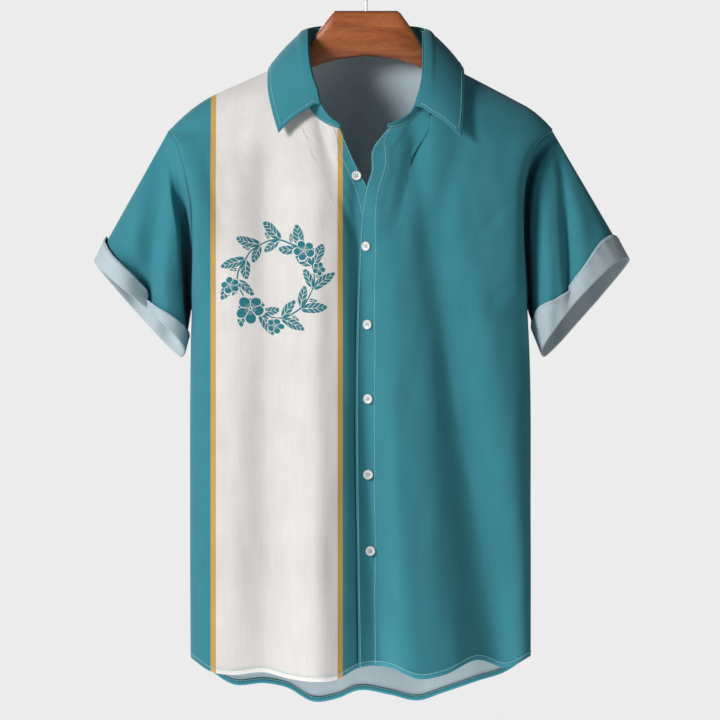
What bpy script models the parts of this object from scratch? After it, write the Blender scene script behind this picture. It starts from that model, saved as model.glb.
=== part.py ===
"""A short-sleeved button-front shirt hanging on a wooden hanger.

The frame: +X is the wearer's left, the front faces -Y, +Z is up, and the origin is the hang
point, at the inside top of the hook. Sizes are in millimetres until the last step. A "drop" is
a distance below the hang point. Every sheet of cloth is a wall: a front surface worked out from
the section tables, and a second surface a cloth's thickness behind it.
"""

import math

import bmesh
import bpy
import numpy as np

MM = 0.001
CLOTH = 1.2
SEAM = 0.3
QUARTER = math.pi / 2

# ---------------------------------------------------------------- driving dimensions
SHOULDER_TIP = 216.0
ARMPIT = 440.0
NECK_SIDE = (80.0, 125.0)
NECK_EASE = 14.0
NECK_FRONT_FALL = 91.0
NECK_BACK_DEPTH = 38.0
NECK_BACK_RISE = 7.0
FRONT_NECK_END = {-1: 32.0, 1: 27.0}
LAP = 3.6
BUTTON_SIZE = 12.0
BUTTON_THICK = 2.6

# Half widths of the body to the wearer's right and left, how far its front and back stand off
# the shoulder line, and how deep the armhole seam lies in front on each side, at each drop.
SECTION_COLUMNS = ("drop", "right", "left", "front", "back", "hole_right", "hole_left")
SECTIONS = (
    (110, 246, 232, 84, 50, 0, 0),
    (216, 246, 232, 84, 54, 0, 0),
    (228, 237, 218, 84, 55, 16, 9),
    (248, 230, 206, 85, 56, 30, 14),
    (272, 224, 199, 85, 57, 38, 17),
    (302, 218, 196, 86, 58, 40, 19),
    (340, 216, 196, 86, 60, 34, 19),
    (380, 216, 198, 86, 61, 22, 15),
    (415, 217, 200, 86, 62, 12, 9),
    (440, 217, 201, 86, 62, 0, 0),
    (480, 218, 203, 85, 63, 0, 0),
    (700, 219, 205, 84, 66, 0, 0),
    (940, 218, 205, 86, 70, 0, 0),
)
# The cloth's section at one drop, and how it leaves the shoulder line down from the shoulder.
ROUND_POWER = 0.75
DRAPE_REACH = 70.0
DRAPE_POWER = 0.6
FOLD_FADE = 60.0
ARMHOLE_BACK = 42.0
ARMHOLE_GAP = 1.0
ARMPIT_ROOM = 1.2

# The shoulder line falls by slope from the neck, then bends down over the hanger's end.
SHOULDERS = {
    -1: {"slope": 0.447, "bend_from": 185.0, "bend": 0.0053},
    1: {"slope": 0.530, "bend_from": 196.0, "bend": 0.0087},
}

# The bottom edges, as drops of the front and of the longer back.
HEM_COLUMNS = ("x", "front", "back")
HEMS = (
    (-219, 870, 870),
    (-193, 887, 890),
    (-169, 891, 905),
    (-125, 888, 905),
    (-98, 895, 911),
    (-68, 899, 928),
    (-35, 896, 924),
    (-10, 883, 914),
    (28, 882, 919),
    (66, 896, 927),
    (97, 891, 917),
    (139, 873, 902),
    (175, 883, 890),
    (205, 869, 869),
)

# The wearer's-right and wearer's-left front edges, as x at each drop.
EDGE_COLUMNS = ("drop", "right", "left")
EDGES = (
    (214, -32, 27),
    (241, -21, 8),
    (267, -9, 7),
    (286, 1, 1),
    (330, 14, -6),
    (370, 17, -8),
    (940, 17, -8),
)

# Hanging folds: a trough (or a ridge, where deep is below 0) runs from its top to its foot.
# Columns: x at the top, x at the foot, drop of the top, drop of the foot, width, depth at the
# top, depth at the foot.
FRONT_FOLDS = (
    (-132, -124, 250, 960, 25, 4, 14),
    (-62, -60, 320, 960, 22, -3, -7),
    (0, 8, 320, 960, 22, 4, 14),
    (48, 50, 330, 960, 20, -2, -6),
    (70, 140, 240, 960, 24, 6, 17),
    (172, 178, 420, 960, 18, -3, -7),
    (-60, -34, 190, 300, 9, 4, 1),
)
BACK_FOLDS = (
    (-150, -158, 300, 960, 24, 4, 12),
    (-72, -68, 330, 960, 24, -4, -9),
    (-14, 6, 260, 960, 30, 6, 12),
    (74, 70, 330, 960, 24, -4, -9),
    (140, 132, 330, 960, 22, 4, 12),
)

# The collar's stand: how high it is on each side, and how it leans, from the centre back (0)
# to the front end (1).
STAND_COLUMNS = ("along", "right", "left", "in_right", "in_left", "lean_out", "up")
STAND = (
    (0.00, 32.0, 32.0, 0.00, 0.00, -0.06, 1.00),
    (0.38, 34.0, 34.0, 0.22, 0.22, 0.00, 0.97),
    (0.60, 31.0, 31.0, 0.27, 0.25, 0.42, 0.87),
    (0.72, 29.0, 27.0, 0.33, 0.18, 0.49, 0.84),
    (0.80, 26.5, 20.5, 0.36, 0.13, 0.52, 0.83),
    (0.86, 21.5, 11.5, 0.18, 0.06, 0.54, 0.83),
    (0.92, 13.0, 9.0, 0.10, 0.06, 0.55, 0.83),
    (1.00, 5.5, 6.0, 0.10, 0.10, 0.55, 0.83),
)
STAND_THICK = 1.6
# How the stand sits on its seam: drawn in from the neckline, and raised above it.
STAND_INSET = 0.5
STAND_RAISE = 0.8

# The free edge of the collar leaf, from the centre back (0) to its tip (1): how far it lies to
# the wearer's right and left, its y, and its drop on each side.
LEAF_COLUMNS = ("along", "right", "left", "y", "drop_right", "drop_left")
LEAF_EDGE = (
    (0.00, 0.0, 0.0, 60, 129, 129),
    (0.16, 44.0, 44.0, 57, 131, 131),
    (0.30, 86.0, 86.0, 44, 135, 135),
    (0.43, 108.5, 108.5, 22, 137, 137),
    (0.52, 116.0, 116.0, -2, 138, 138),
    (0.62, 118.0, 118.0, -28, 148, 148),
    (0.74, 117.5, 118.0, -49, 170, 171),
    (0.865, 112.0, 117.0, -64, 196, 200),
    (1.00, 105.0, 114.5, -77, 221, 227),
)
# Where along the stand the leaf ends on each side.
LEAF_END = {-1: 0.87, 1: 0.84}
# The leaf's roll over the stand: how far it stands off sideways, how high its fold and its arch.
LEAF_ROLL = 3.2
LEAF_FOLD = 1.6
LEAF_ARCH = 3.0
LEAF_CLEAR = 1.2
# Where the collar's points lie: along each half, up the stand, and out along the leaf.
COLLAR_SHARES = (0, 0.08, 0.16, 0.24, 0.32, 0.39, 0.45, 0.52, 0.60, 0.68, 0.76, 0.84, 0.91, 0.96, 1)
STAND_ROWS = (0.0, 0.33, 0.67, 1.0)
LEAF_ROWS = (0.0, 0.05, 0.12, 0.3, 0.52, 0.76, 1.0)
NECK_MIDDLE = (0.0, -15.0, 0.0)

# The sleeve's end, where the turn-up folds, is an open ring. Its front stands out past the line
# from outer to inner by front + tilt at the outer side and front - tilt at the inner side, and
# its back by back.
SLEEVE_ENDS = {
    -1: {"outer": (-336, 377), "inner": (-230, 495), "front": -9, "tilt": 8, "back": 5, "deep": 50},
    1: {"outer": (326, 376), "inner": (222, 495), "front": -15, "tilt": 0, "back": 4, "deep": 50},
}
SLEEVE_PUFF = 9.0
SLEEVE_SHARES = (0, 0.025, 0.05, 0.08, 0.11, 0.15, 0.20, 0.26, 0.34, 0.44, 0.56, 0.70, 0.85, 1)
SLEEVE_SIDES = 24
TURN_RADIUS = 0.5
# The turn-up's width, and how far its free edge stands off, at degrees round the sleeve from the
# top over the front.
TURN_UP_COLUMNS = ("round", "right", "right_off", "left", "left_off")
TURN_UPS = (
    (0, 32, 0.8, 30, 0.8),
    (24, 26, 5, 32, 1),
    (46, 17, 9, 29, 1),
    (72, 9, 11, 21, 2),
    (90, 10, 8, 18, 2),
    (104, 11, 5, 22, 2),
    (120, 14, 3, 31, 2),
    (135, 17, 2, 36, 2),
    (180, 24, 1, 34, 1),
    (225, 27, 1, 30, 1),
    (315, 28, 1, 28, 1),
    (360, 32, 0.8, 30, 0.8),
)
# The cleft between sleeve and body in front: where along the sleeve it lies (0 at the armhole,
# 1 at the end), its half width there and how deep it is, at degrees round from the top.
CLEFT_COLUMNS = ("round", "right", "right_wide", "right_deep", "left", "left_wide", "left_deep")
CLEFTS = (
    (20, 0.06, 0.03, 0, 0.06, 0.04, 2),
    (40, 0.09, 0.06, 3, 0.07, 0.05, 12),
    (60, 0.12, 0.07, 12, 0.08, 0.06, 26),
    (90, 0.14, 0.08, 30, 0.08, 0.085, 36),
    (120, 0.18, 0.13, 38, 0.10, 0.13, 36),
    (150, 0.24, 0.22, 34, 0.13, 0.18, 26),
    (170, 0.30, 0.24, 14, 0.18, 0.2, 10),
    (180, 0.32, 0.24, 0, 0.2, 0.2, 0),
)
# Folds of the sleeves, in the same columns as those of the body.
FRONT_SLEEVE_FOLDS = {
    -1: (
        (-249, -246, 250, 500, 9, -4, -7),
        (-258, -282, 290, 400, 11, 5, 9),
        (-300, -272, 375, 425, 12, 8, 12),
    ),
    1: (
        (239, 250, 270, 400, 8, 5, 7),
        (226, 226, 320, 470, 10, -4, -5),
    ),
}
BACK_SLEEVE_FOLDS = {
    -1: ((-250, -262, 300, 470, 13, 5, 8), (-286, -290, 320, 430, 12, -3, -5)),
    1: ((240, 250, 300, 470, 13, 5, 8), (276, 280, 320, 430, 12, -3, -5)),
}

# The buttons' middles, from the top one down: x, drop.
BUTTONS = (
    (-11.8, 272),
    (0.6, 360),
    (2.6, 457),
    (3.4, 549),
    (2.2, 643),
    (4.8, 738),
)

HANGER_COLUMNS = ("x", "top", "foot", "deep")
HANGER_NECK = (
    (0, 66, 122, 11),
    (39, 66, 127, 11),
    (43, 69, 128.5, 11),
    (56, 87, 132.5, 11),
    (66, 101, 136.5, 10),
    (70, 108, 139, 9),
    (74, 129.5, 142, 4.5),
)
HANGER_END = {-1: 212.0, 1: 196.0}
HANGER_TIP_HIGH = 26.0
HANGER_TIP_DEEP = 13.0
HANGER_SQUARE = 0.55
HANGER_CORNERS = 14
# Where the rings of the body lie on each side, and how far in from each end the last two lie.
HANGER_STATIONS = (20, 39, 43, 56, 66, 70, 74, 84, 100, 120, 145, 170, 190)
HANGER_END_STATIONS = (4, 0)
HANGER_END_SHRINK = 0.55
HOOK_WIRE = 3.6
HOOK_INNER = 19.0


# ---------------------------------------------------------------- small helpers
def hand(side):
    return "right" if side < 0 else "left"


def smooth(t):
    t = np.clip(t, 0.0, 1.0)
    return t * t * (3 - 2 * t)


def column(table, names, key):
    return np.array([row[names.index(key)] for row in table], float)


def through(table, names, key, at):
    """A smooth curve through one column of a table, read at the first column's value."""
    xs, ys = column(table, names, names[0]), column(table, names, key)
    slopes = np.gradient(ys, xs)
    at = np.clip(at, xs[0], xs[-1])
    i = np.clip(np.searchsorted(xs, at) - 1, 0, len(xs) - 2)
    span = xs[i + 1] - xs[i]
    t = (at - xs[i]) / span
    rise = ys[i + 1] - ys[i]
    return ys[i] + t * t * (3 - 2 * t) * rise + span * t * (1 - t) * (
        slopes[i] * (1 - t) - slopes[i + 1] * t
    )


def even_points(points, shares):
    """The points that lie at these shares of a curve's length."""
    steps = np.linalg.norm(np.diff(points, axis=0), axis=1)
    run = np.concatenate([[0], np.cumsum(steps)]) / steps.sum()
    return np.stack([np.interp(shares, run, points[:, k]) for k in range(3)], axis=1)


# ---------------------------------------------------------------- the body's form
def half_width(side, drop):
    return through(SECTIONS, SECTION_COLUMNS, hand(side), np.maximum(drop, SHOULDER_TIP))


def hole_depth(side, drop):
    """How far in front of the shoulder line's plane the armhole seam lies."""
    deep = through(SECTIONS, SECTION_COLUMNS, "hole_" + hand(side), drop)
    return np.where((drop > SHOULDER_TIP) & (drop < ARMPIT), np.maximum(deep, 0), 0)


def shoulder_drop(side, x):
    """The drop of the shoulder line at a distance x from the middle."""
    line = SHOULDERS[side]
    past = np.abs(x) - NECK_SIDE[0]
    out = (past + np.sqrt(past**2 + NECK_EASE**2) - NECK_EASE) / 2
    bend = np.maximum(np.abs(x) - line["bend_from"], 0)
    return NECK_SIDE[1] + line["slope"] * out + line["bend"] * bend**2


def stand_off(below):
    """How far, as a share of its full depth, the cloth has left the shoulder line."""
    return (1 - np.exp(-np.maximum(below, 0) / DRAPE_REACH)) ** DRAPE_POWER


def folds(table, x, drop):
    total = 0.0
    for x_top, x_foot, top, foot, width, deep_top, deep_foot in table:
        run = (drop - top) / (foot - top)
        middle = x_top + (x_foot - x_top) * np.clip(run, 0, 1)
        deep = deep_top + (deep_foot - deep_top) * smooth(run)
        fade_in = smooth((drop - top + FOLD_FADE) / (2 * FOLD_FADE))
        fade = fade_in * smooth((foot + FOLD_FADE - drop) / FOLD_FADE)
        total = total + deep * fade * np.exp(-(((x - middle) / width) ** 2))
    return total


def body_depth(side, x, drop, front):
    """How far the cloth lies in front of (or behind) the shoulder line's plane."""
    half = half_width(side, drop)
    share = np.clip(np.abs(x) / half, 0, 1)
    round_off = np.cos(np.arcsin(share)) ** ROUND_POWER
    below = drop - shoulder_drop(side, x)
    if front:
        full = through(SECTIONS, SECTION_COLUMNS, "front", drop)
        hole = hole_depth(side, drop)
        relief = folds(FRONT_FOLDS, x, drop)
    else:
        full = through(SECTIONS, SECTION_COLUMNS, "back", drop)
        middle, reach = (SHOULDER_TIP + ARMPIT) / 2, (ARMPIT - SHOULDER_TIP) / 2
        hole = ARMHOLE_BACK * np.sqrt(np.clip(1 - ((drop - middle) / reach) ** 2, 0, 1))
        relief = folds(BACK_FOLDS, x, drop)
        inside = np.clip(1 - (np.abs(x) / NECK_SIDE[0]) ** 2, 0, 1)
        # At the neck the back already stands off by the neckline's depth.
        wanted = (NECK_BACK_DEPTH * np.sqrt(inside) / full) ** (1 / DRAPE_POWER)
        below = below + NECK_BACK_RISE * np.sqrt(inside) - DRAPE_REACH * np.log(1 - wanted)
    relief = relief * round_off**0.7 * smooth(below / FOLD_FADE)
    return full * round_off * stand_off(below) + hole * share**6 - relief


def neck_front_drop(x):
    share = np.clip(np.abs(x) / NECK_SIDE[0], 0, 1)
    return NECK_SIDE[1] + NECK_FRONT_FALL * (1 - share**3) ** (1 / 3)


def neck_back_drop(x):
    share = np.clip(np.abs(x) / NECK_SIDE[0], 0, 1)
    return NECK_SIDE[1] - NECK_BACK_RISE * np.sqrt(1 - share**2)


def level_rows(top, foot, upper, lower):
    """Drops down one column: rows to the armpit, closer at both ends, then rows to the hem."""
    share = (1 - np.cos(np.linspace(0, np.pi, upper + 1))) / 2
    return np.concatenate([top + (ARMPIT - top) * share, np.linspace(ARMPIT, foot, lower + 1)[1:]])


# ---------------------------------------------------------------- building walls
def normals(grid, ring=False):
    """The unit normals of a grid of points, rows by columns."""
    down = np.gradient(grid, axis=0)
    if ring:
        across = (np.roll(grid, -1, axis=1) - np.roll(grid, 1, axis=1)) / 2
    else:
        across = np.gradient(grid, axis=1)
    found = np.cross(down, across)
    return found / np.maximum(np.linalg.norm(found, axis=2, keepdims=True), 1e-9)


def unit(vectors):
    return vectors / np.maximum(np.linalg.norm(vectors, axis=-1, keepdims=True), 1e-9)


def material(name, colour, rough, metal=0.0):
    made = bpy.data.materials.new(name)
    made.use_nodes = True
    shader = made.node_tree.nodes["Principled BSDF"]
    shader.inputs["Base Color"].default_value = (*colour, 1)
    shader.inputs["Roughness"].default_value = rough
    shader.inputs["Metallic"].default_value = metal
    return made


def finish(name, bm, finish_material):
    bmesh.ops.recalc_face_normals(bm, faces=bm.faces)
    mesh = bpy.data.meshes.new(name)
    bm.to_mesh(mesh)
    bm.free()
    mesh.shade_smooth()
    mesh.set_sharp_from_angle(angle=math.radians(40))
    mesh.materials.append(finish_material)
    made = bpy.data.objects.new(name, mesh)
    bpy.context.collection.objects.link(made)
    return made


def wall(name, face, reverse, finish_material, ring=False):
    """A closed sheet between two grids of points. A ring's columns join up."""
    bm = bmesh.new()
    rows, cols = face.shape[:2]
    sheets = [[[bm.verts.new(p * MM) for p in row] for row in grid] for grid in (face, reverse)]
    last = cols if ring else cols - 1
    for r in range(rows - 1):
        for c in range(last):
            d = (c + 1) % cols
            for sheet in sheets:
                bm.faces.new((sheet[r][c], sheet[r][d], sheet[r + 1][d], sheet[r + 1][c]))
    a, b = sheets
    for r in (0, rows - 1):
        for c in range(last):
            d = (c + 1) % cols
            bm.faces.new((a[r][c], a[r][d], b[r][d], b[r][c]))
    if not ring:
        for c in (0, cols - 1):
            for r in range(rows - 1):
                bm.faces.new((a[r][c], a[r + 1][c], b[r + 1][c], b[r][c]))
    return finish(name, bm, finish_material)


# ---------------------------------------------------------------- the fronts and the back
def front_grid(side, neck_cols, shoulder_cols, upper, lower):
    """Columns from the front edge to the side, rows from the neck or shoulder to the hem."""
    start = FRONT_NECK_END[side]
    widest = half_width(side, SHOULDER_TIP)
    first, corner = math.asin(start / widest), math.asin(NECK_SIDE[0] / widest)
    turn = (corner - first) / (QUARTER - first)
    shares = np.concatenate(
        [np.linspace(0, turn, neck_cols + 1), np.linspace(turn, 1, shoulder_cols + 1)[1:]]
    )
    grid = np.zeros((upper + lower + 1, len(shares), 3))
    for c, share in enumerate(shares):
        x_top = widest * math.sin(first + (QUARTER - first) * share)
        on_shoulder = share >= turn - 1e-9
        top = shoulder_drop(side, x_top) if on_shoulder else neck_front_drop(x_top)
        hem_guess = 880.0
        for _ in range(4):
            drops = level_rows(float(top), hem_guess, upper, lower)
            half = half_width(side, drops)
            edge = through(EDGES, EDGE_COLUMNS, hand(side), np.maximum(drops, 214)) * side
            inner = np.arcsin(edge / half)
            x = side * half * np.sin(inner + (QUARTER - inner) * share)
            hem_guess = float(through(HEMS, HEM_COLUMNS, "front", x[-1]))
        y = -body_depth(side, x, drops, True)
        grid[:, c] = np.stack([x, y, -drops], axis=1)
    return grid


def back_grid(half_neck_cols, shoulder_cols, upper, lower):
    """Columns from the wearer's right side to the left, rows from neck or shoulder to hem."""
    halves = []
    for side in (-1, 1):
        widest = half_width(side, SHOULDER_TIP)
        turn = math.asin(NECK_SIDE[0] / widest) / QUARTER
        shares = np.concatenate(
            [np.linspace(0, turn, half_neck_cols + 1), np.linspace(turn, 1, shoulder_cols + 1)[1:]]
        )
        grid = np.zeros((upper + lower + 1, len(shares), 3))
        for c, share in enumerate(shares):
            x_top = widest * math.sin(QUARTER * share)
            on_shoulder = share >= turn - 1e-9
            top = shoulder_drop(side, x_top) if on_shoulder else neck_back_drop(x_top)
            hem_guess = 900.0
            for _ in range(4):
                drops = level_rows(float(top), hem_guess, upper, lower)
                x = side * half_width(side, drops) * math.sin(QUARTER * share)
                hem_guess = float(through(HEMS, HEM_COLUMNS, "back", x[-1]))
            y = body_depth(side, x, drops, False)
            grid[:, c] = np.stack([x, y, -drops], axis=1)
        halves.append(grid)
    return np.concatenate([halves[0][:, ::-1], halves[1][:, 1:]], axis=1)


def seam_normals(grid, side, facing, upper, edge_col):
    """Normals of a panel, turned square to the seam where it meets its neighbour."""
    found = normals(grid)
    if np.sum(found[:, :, 1]) * facing < 0:
        found = -found
    top = grid[0]
    for c in range(grid.shape[1]):
        x = abs(top[c, 0])
        if x >= NECK_SIDE[0] - 1 and top[c, 0] * side > 0:
            slope = float(shoulder_drop(side, x + 0.5) - shoulder_drop(side, x - 0.5))
            found[0, c] = unit(np.array([side * slope, 0, 1.0]))
    found[upper:, edge_col] = (side, 0, 0)
    return found


def build_front(side, cloth):
    neck_cols, shoulder_cols, upper, lower = 5, 9, 12, 12
    grid = front_grid(side, neck_cols, shoulder_cols, upper, lower)
    out = seam_normals(grid, side, -1, upper, -1)
    # The wearer's left front laps over the right one, whose band lies under it.
    if side < 0:
        tuck = smooth((grid[:, :, 0] + 24) / 14) * smooth((-grid[:, :, 2] - 262) / 24)
        grid = grid - out * (LAP * tuck)[:, :, None]
    grid[:, :, 1] -= SEAM
    thick = np.full(grid.shape[:2], CLOTH)
    thick[:, 0:2] = 2 * CLOTH
    wall("front_" + hand(side), grid, grid - out * thick[:, :, None], cloth)
    return grid


def build_back(cloth):
    half_neck, shoulder_cols, upper, lower = 4, 8, 12, 12
    grid = back_grid(half_neck, shoulder_cols, upper, lower)
    out = normals(grid)
    if np.sum(out[:, :, 1]) < 0:
        out = -out
    for side, col in ((-1, 0), (1, -1)):
        turned = seam_normals(grid, side, 1, upper, col)
        top = grid[0, :, 0] * side >= NECK_SIDE[0] - 1
        out[0, top] = turned[0, top]
        out[upper:, col] = (side, 0, 0)
    grid[:, :, 1] += SEAM
    wall("back", grid, grid - out * CLOTH, cloth)
    return grid


# ---------------------------------------------------------------- sleeves
def armhole(side, angle):
    """The armhole seam, from the shoulder (0) over the front to the armpit and up the back."""
    middle, reach = (SHOULDER_TIP + ARMPIT) / 2, (ARMPIT - SHOULDER_TIP) / 2
    drop = middle - reach * np.cos(angle)
    x = side * (half_width(side, drop) + ARMHOLE_GAP + ARMPIT_ROOM * smooth((drop - 360) / 60))
    y = np.where(np.sin(angle) > 0, -hole_depth(side, drop), ARMHOLE_BACK * np.abs(np.sin(angle)))
    return np.stack([x, y, -drop], axis=-1)


def sleeve_end(side, angle):
    end = SLEEVE_ENDS[side]
    outer, inner = np.array(end["outer"], float), np.array(end["inner"], float)
    middle, arm = (outer + inner) / 2, (outer - inner) / 2
    out = unit(np.array([-arm[1], arm[0]]))
    out = out * np.sign(out[1])
    front = end["front"] + end["tilt"] * np.cos(angle)
    swell = np.where(np.sin(angle) > 0, front, end["back"]) * np.abs(np.sin(angle)) ** 0.7
    flat = middle + arm * np.cos(angle)[..., None] + out * swell[..., None]
    return np.stack([flat[..., 0], -end["deep"] * np.sin(angle), -flat[..., 1]], axis=-1)


def sleeve_surface(side, along, angle):
    """Points of the sleeve: along from the armhole (0) to the end (1)."""
    start, end = armhole(side, angle), sleeve_end(side, angle)
    spots = start + (end - start) * along[..., None]
    sine = np.sin(angle)
    facing = np.where(sine > 0, 1, -1)
    spots[..., 1] -= facing * SLEEVE_PUFF * np.sin(np.pi * along) * np.abs(sine)
    front = folds(FRONT_SLEEVE_FOLDS[side], spots[..., 0], -spots[..., 2])
    back = folds(BACK_SLEEVE_FOLDS[side], spots[..., 0], -spots[..., 2])
    relief = np.where(sine > 0, front, back) * smooth(np.abs(sine) / 0.5) * smooth(along / 0.12)
    degrees = np.degrees(angle) % 360
    middle = through(CLEFTS, CLEFT_COLUMNS, hand(side), degrees)
    wide = through(CLEFTS, CLEFT_COLUMNS, hand(side) + "_wide", degrees)
    deep = through(CLEFTS, CLEFT_COLUMNS, hand(side) + "_deep", degrees)
    cleft = np.exp(-(((along - middle) / wide) ** 4)) * smooth(along / 0.04)
    relief = relief + np.maximum(deep, 0) * cleft * (sine > 0)
    spots[..., 1] += facing * relief
    return spots


def outward(grid, found):
    """Ring normals, turned to point away from each row's middle."""
    away = np.sum(found * (grid - grid.mean(axis=1, keepdims=True)))
    return found if away > 0 else -found


def build_sleeve(side, cloth):
    """One wall: down the sleeve, round the fold at its end, and back up outside it."""
    angles = np.linspace(0, 2 * np.pi, SLEEVE_SIDES, endpoint=False)
    along, angle = np.meshgrid(np.array(SLEEVE_SHARES), angles, indexing="ij")
    face = sleeve_surface(side, along, angle)
    out = outward(face, normals(face, ring=True))
    # The rim at the armhole must not lean over the body's own edge.
    out[0, :, 0] = side * np.minimum(out[0, :, 0] * side, 0)
    out[0] = unit(out[0])
    face_rows, reverse_rows = list(face), list(face - out * CLOTH)
    down = unit(face[-1] - face[-2])
    for a in (-45, 0, 45):
        sine, cosine = math.sin(math.radians(a)), math.cos(math.radians(a))
        for rows, radius in ((face_rows, TURN_RADIUS), (reverse_rows, TURN_RADIUS + CLOTH)):
            rows.append(face[-1] + out[-1] * (TURN_RADIUS + radius * sine) + down * radius * cosine)
    length = np.linalg.norm(sleeve_end(side, angles) - armhole(side, angles), axis=1)
    wide = through(TURN_UPS, TURN_UP_COLUMNS, hand(side), np.degrees(angles))
    off = through(TURN_UPS, TURN_UP_COLUMNS, hand(side) + "_off", np.degrees(angles))
    for part in (0.0, 0.35, 0.7, 1.0):
        share = 1 - part * wide / length
        pair = sleeve_surface(side, np.stack([share - 0.01, share]), np.stack([angles, angles]))
        lift = outward(pair, normals(pair, ring=True))[1]
        proud = (2 * TURN_RADIUS + off * part)[:, None]
        face_rows.append(pair[1] + lift * proud)
        reverse_rows.append(pair[1] + lift * (proud + CLOTH))
    wall("sleeve_" + hand(side), np.array(face_rows), np.array(reverse_rows), cloth, ring=True)


# ---------------------------------------------------------------- collar
def half_neckline(side):
    """The neck seam of one side, from the centre back to the front end."""
    turn = np.linspace(0, QUARTER, 80)
    x = NECK_SIDE[0] * np.sin(turn)
    back = np.stack([side * x, NECK_BACK_DEPTH * np.cos(turn), -neck_back_drop(x)], axis=1)
    last = math.acos((FRONT_NECK_END[side] / NECK_SIDE[0]) ** 1.5)
    turn = last * np.linspace(0, 1, 200)[1:] ** 2
    x = NECK_SIDE[0] * np.cos(turn) ** (2 / 3)
    drop = neck_front_drop(x)
    front = np.stack([side * x, -body_depth(side, side * x, drop, True), -drop], axis=1)
    return np.concatenate([back, front])


def stand_points(side, shares, up):
    """Points of the stand at these shares of the half neckline, up from its seam (0 to 1)."""
    base = even_points(half_neckline(side), shares)
    high = through(STAND, STAND_COLUMNS, hand(side), shares)
    lean_in = through(STAND, STAND_COLUMNS, "in_" + hand(side), shares)
    lean_out = through(STAND, STAND_COLUMNS, "lean_out", shares)
    rise = through(STAND, STAND_COLUMNS, "up", shares)
    lean = np.stack([-side * lean_in, -lean_out, rise], axis=1)
    return base + unit(lean) * (high * up)[:, None]


def leaf_points(side, shares, part):
    """Points of the leaf's under face at these shares of its length, part of the way out."""
    top = stand_points(side, shares * LEAF_END[side], 1.0)
    out_x = through(LEAF_EDGE, LEAF_COLUMNS, hand(side), shares)
    y = through(LEAF_EDGE, LEAF_COLUMNS, "y", shares)
    drop = through(LEAF_EDGE, LEAF_COLUMNS, "drop_" + hand(side), shares)
    edge = np.stack([side * out_x, y, -drop], axis=1)
    away = unit((edge - top) * np.array([1, 1, 0]))
    arch = 4 * part * (1 - part)
    sideways = LEAF_ROLL * smooth(part / 0.12) + 2 / 3 * LEAF_ARCH * arch
    raised = LEAF_CLEAR + LEAF_FOLD * math.sin(np.pi * min(part / 0.2, 1)) + LEAF_ARCH * arch
    return top + (edge - top) * part + away * sideways + np.array([0, 0, raised])


def mirrored(make, shares, part):
    """One row across the whole neck, from the wearer's right end to the left end."""
    right, left = make(-1, shares, part), make(1, shares, part)
    return np.concatenate([right[::-1], left[1:]])


def build_collar(cloth):
    shares = np.array(COLLAR_SHARES)
    face = np.array([mirrored(stand_points, shares, up) for up in STAND_ROWS])
    out = normals(face)
    if np.sum(out[:, :, :2] * (face - NECK_MIDDLE)[:, :, :2]) < 0:
        out = -out
    face = face - out * STAND_INSET + np.array([0, 0, STAND_RAISE])
    wall("collar_stand", face, face - out * STAND_THICK, cloth)
    under = np.array([mirrored(leaf_points, shares, part) for part in LEAF_ROWS])
    out = normals(under)
    if np.sum(out[3:, :, 2]) < 0:
        out = -out
    wall("collar_leaf", under + out * STAND_THICK, under, cloth)


# ---------------------------------------------------------------- buttons, hanger and hook
def build_button(number, x, drop, white):
    """A sew-through button: a disc with a rim, dished in the middle, facing out of the cloth."""
    side = -1 if number == 1 else 1
    step = 1.0
    here = -float(body_depth(side, x, drop, True))
    dx = -float(body_depth(side, x + step, drop, True)) - here
    dz = -float(body_depth(side, x, drop - step, True)) - here
    out = unit(np.array([dx, -1.0, dz]))
    centre = np.array([x, here - SEAM, -drop])
    across = unit(np.cross(out, np.array([0, 0, 1.0])))
    up = np.cross(across, out)
    radius = BUTTON_SIZE / 2
    # The thread holds the button just clear of the highest cloth under it.
    around = np.linspace(0, 2 * math.pi, 24)
    proud = 0.0
    for share in (0.5, 1.0):
        ring = np.outer(np.cos(around), across) + np.outer(np.sin(around), up)
        spots = centre + radius * share * ring
        cloth_y = -body_depth(side, spots[:, 0], -spots[:, 2], True) - SEAM
        proud = max(proud, float(np.max((spots[:, 1] - cloth_y) * -out[1])))
    seat = centre + out * (proud + SEAM)
    profile = (
        (0.0, 0.0),
        (radius * 0.75, 0.0),
        (radius, BUTTON_THICK * 0.45),
        (radius * 0.92, BUTTON_THICK),
        (radius * 0.72, BUTTON_THICK * 0.95),
        (radius * 0.60, BUTTON_THICK * 0.68),
        (0.0, BUTTON_THICK * 0.66),
    )
    bm = bmesh.new()
    points = [bm.verts.new((seat + across * r + out * h) * MM) for r, h in profile]
    edges = [bm.edges.new(pair) for pair in zip(points, points[1:])]
    bmesh.ops.spin(
        bm, geom=points + edges, cent=seat * MM, axis=out, angle=2 * math.pi, steps=16, use_merge=True
    )
    bmesh.ops.remove_doubles(bm, verts=bm.verts, dist=1e-6)
    finish(f"button_{number}", bm, white)


def hanger_section(side, x):
    """Top drop, foot drop and half depth of the wooden body at a distance x from the middle."""
    last = HANGER_NECK[-1]
    if x <= last[0]:
        xs = column(HANGER_NECK, HANGER_COLUMNS, "x")
        return tuple(
            float(np.interp(x, xs, column(HANGER_NECK, HANGER_COLUMNS, key)))
            for key in HANGER_COLUMNS[1:]
        )
    share = (x - last[0]) / (HANGER_END[side] - last[0])
    step = 0.5
    slope = float(shoulder_drop(side, x + step) - shoulder_drop(side, x - step)) / (2 * step)
    clear = 0.8 if x < SHOULDERS[side]["bend_from"] else 1.0
    top = float(shoulder_drop(side, x)) + (CLOTH + clear) * math.hypot(1, slope)
    top = max(top, last[1])
    foot = last[2] + (top + HANGER_TIP_HIGH - last[2]) * share**0.9
    return top, foot, last[3] + (HANGER_TIP_DEEP - last[3]) * share


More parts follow.
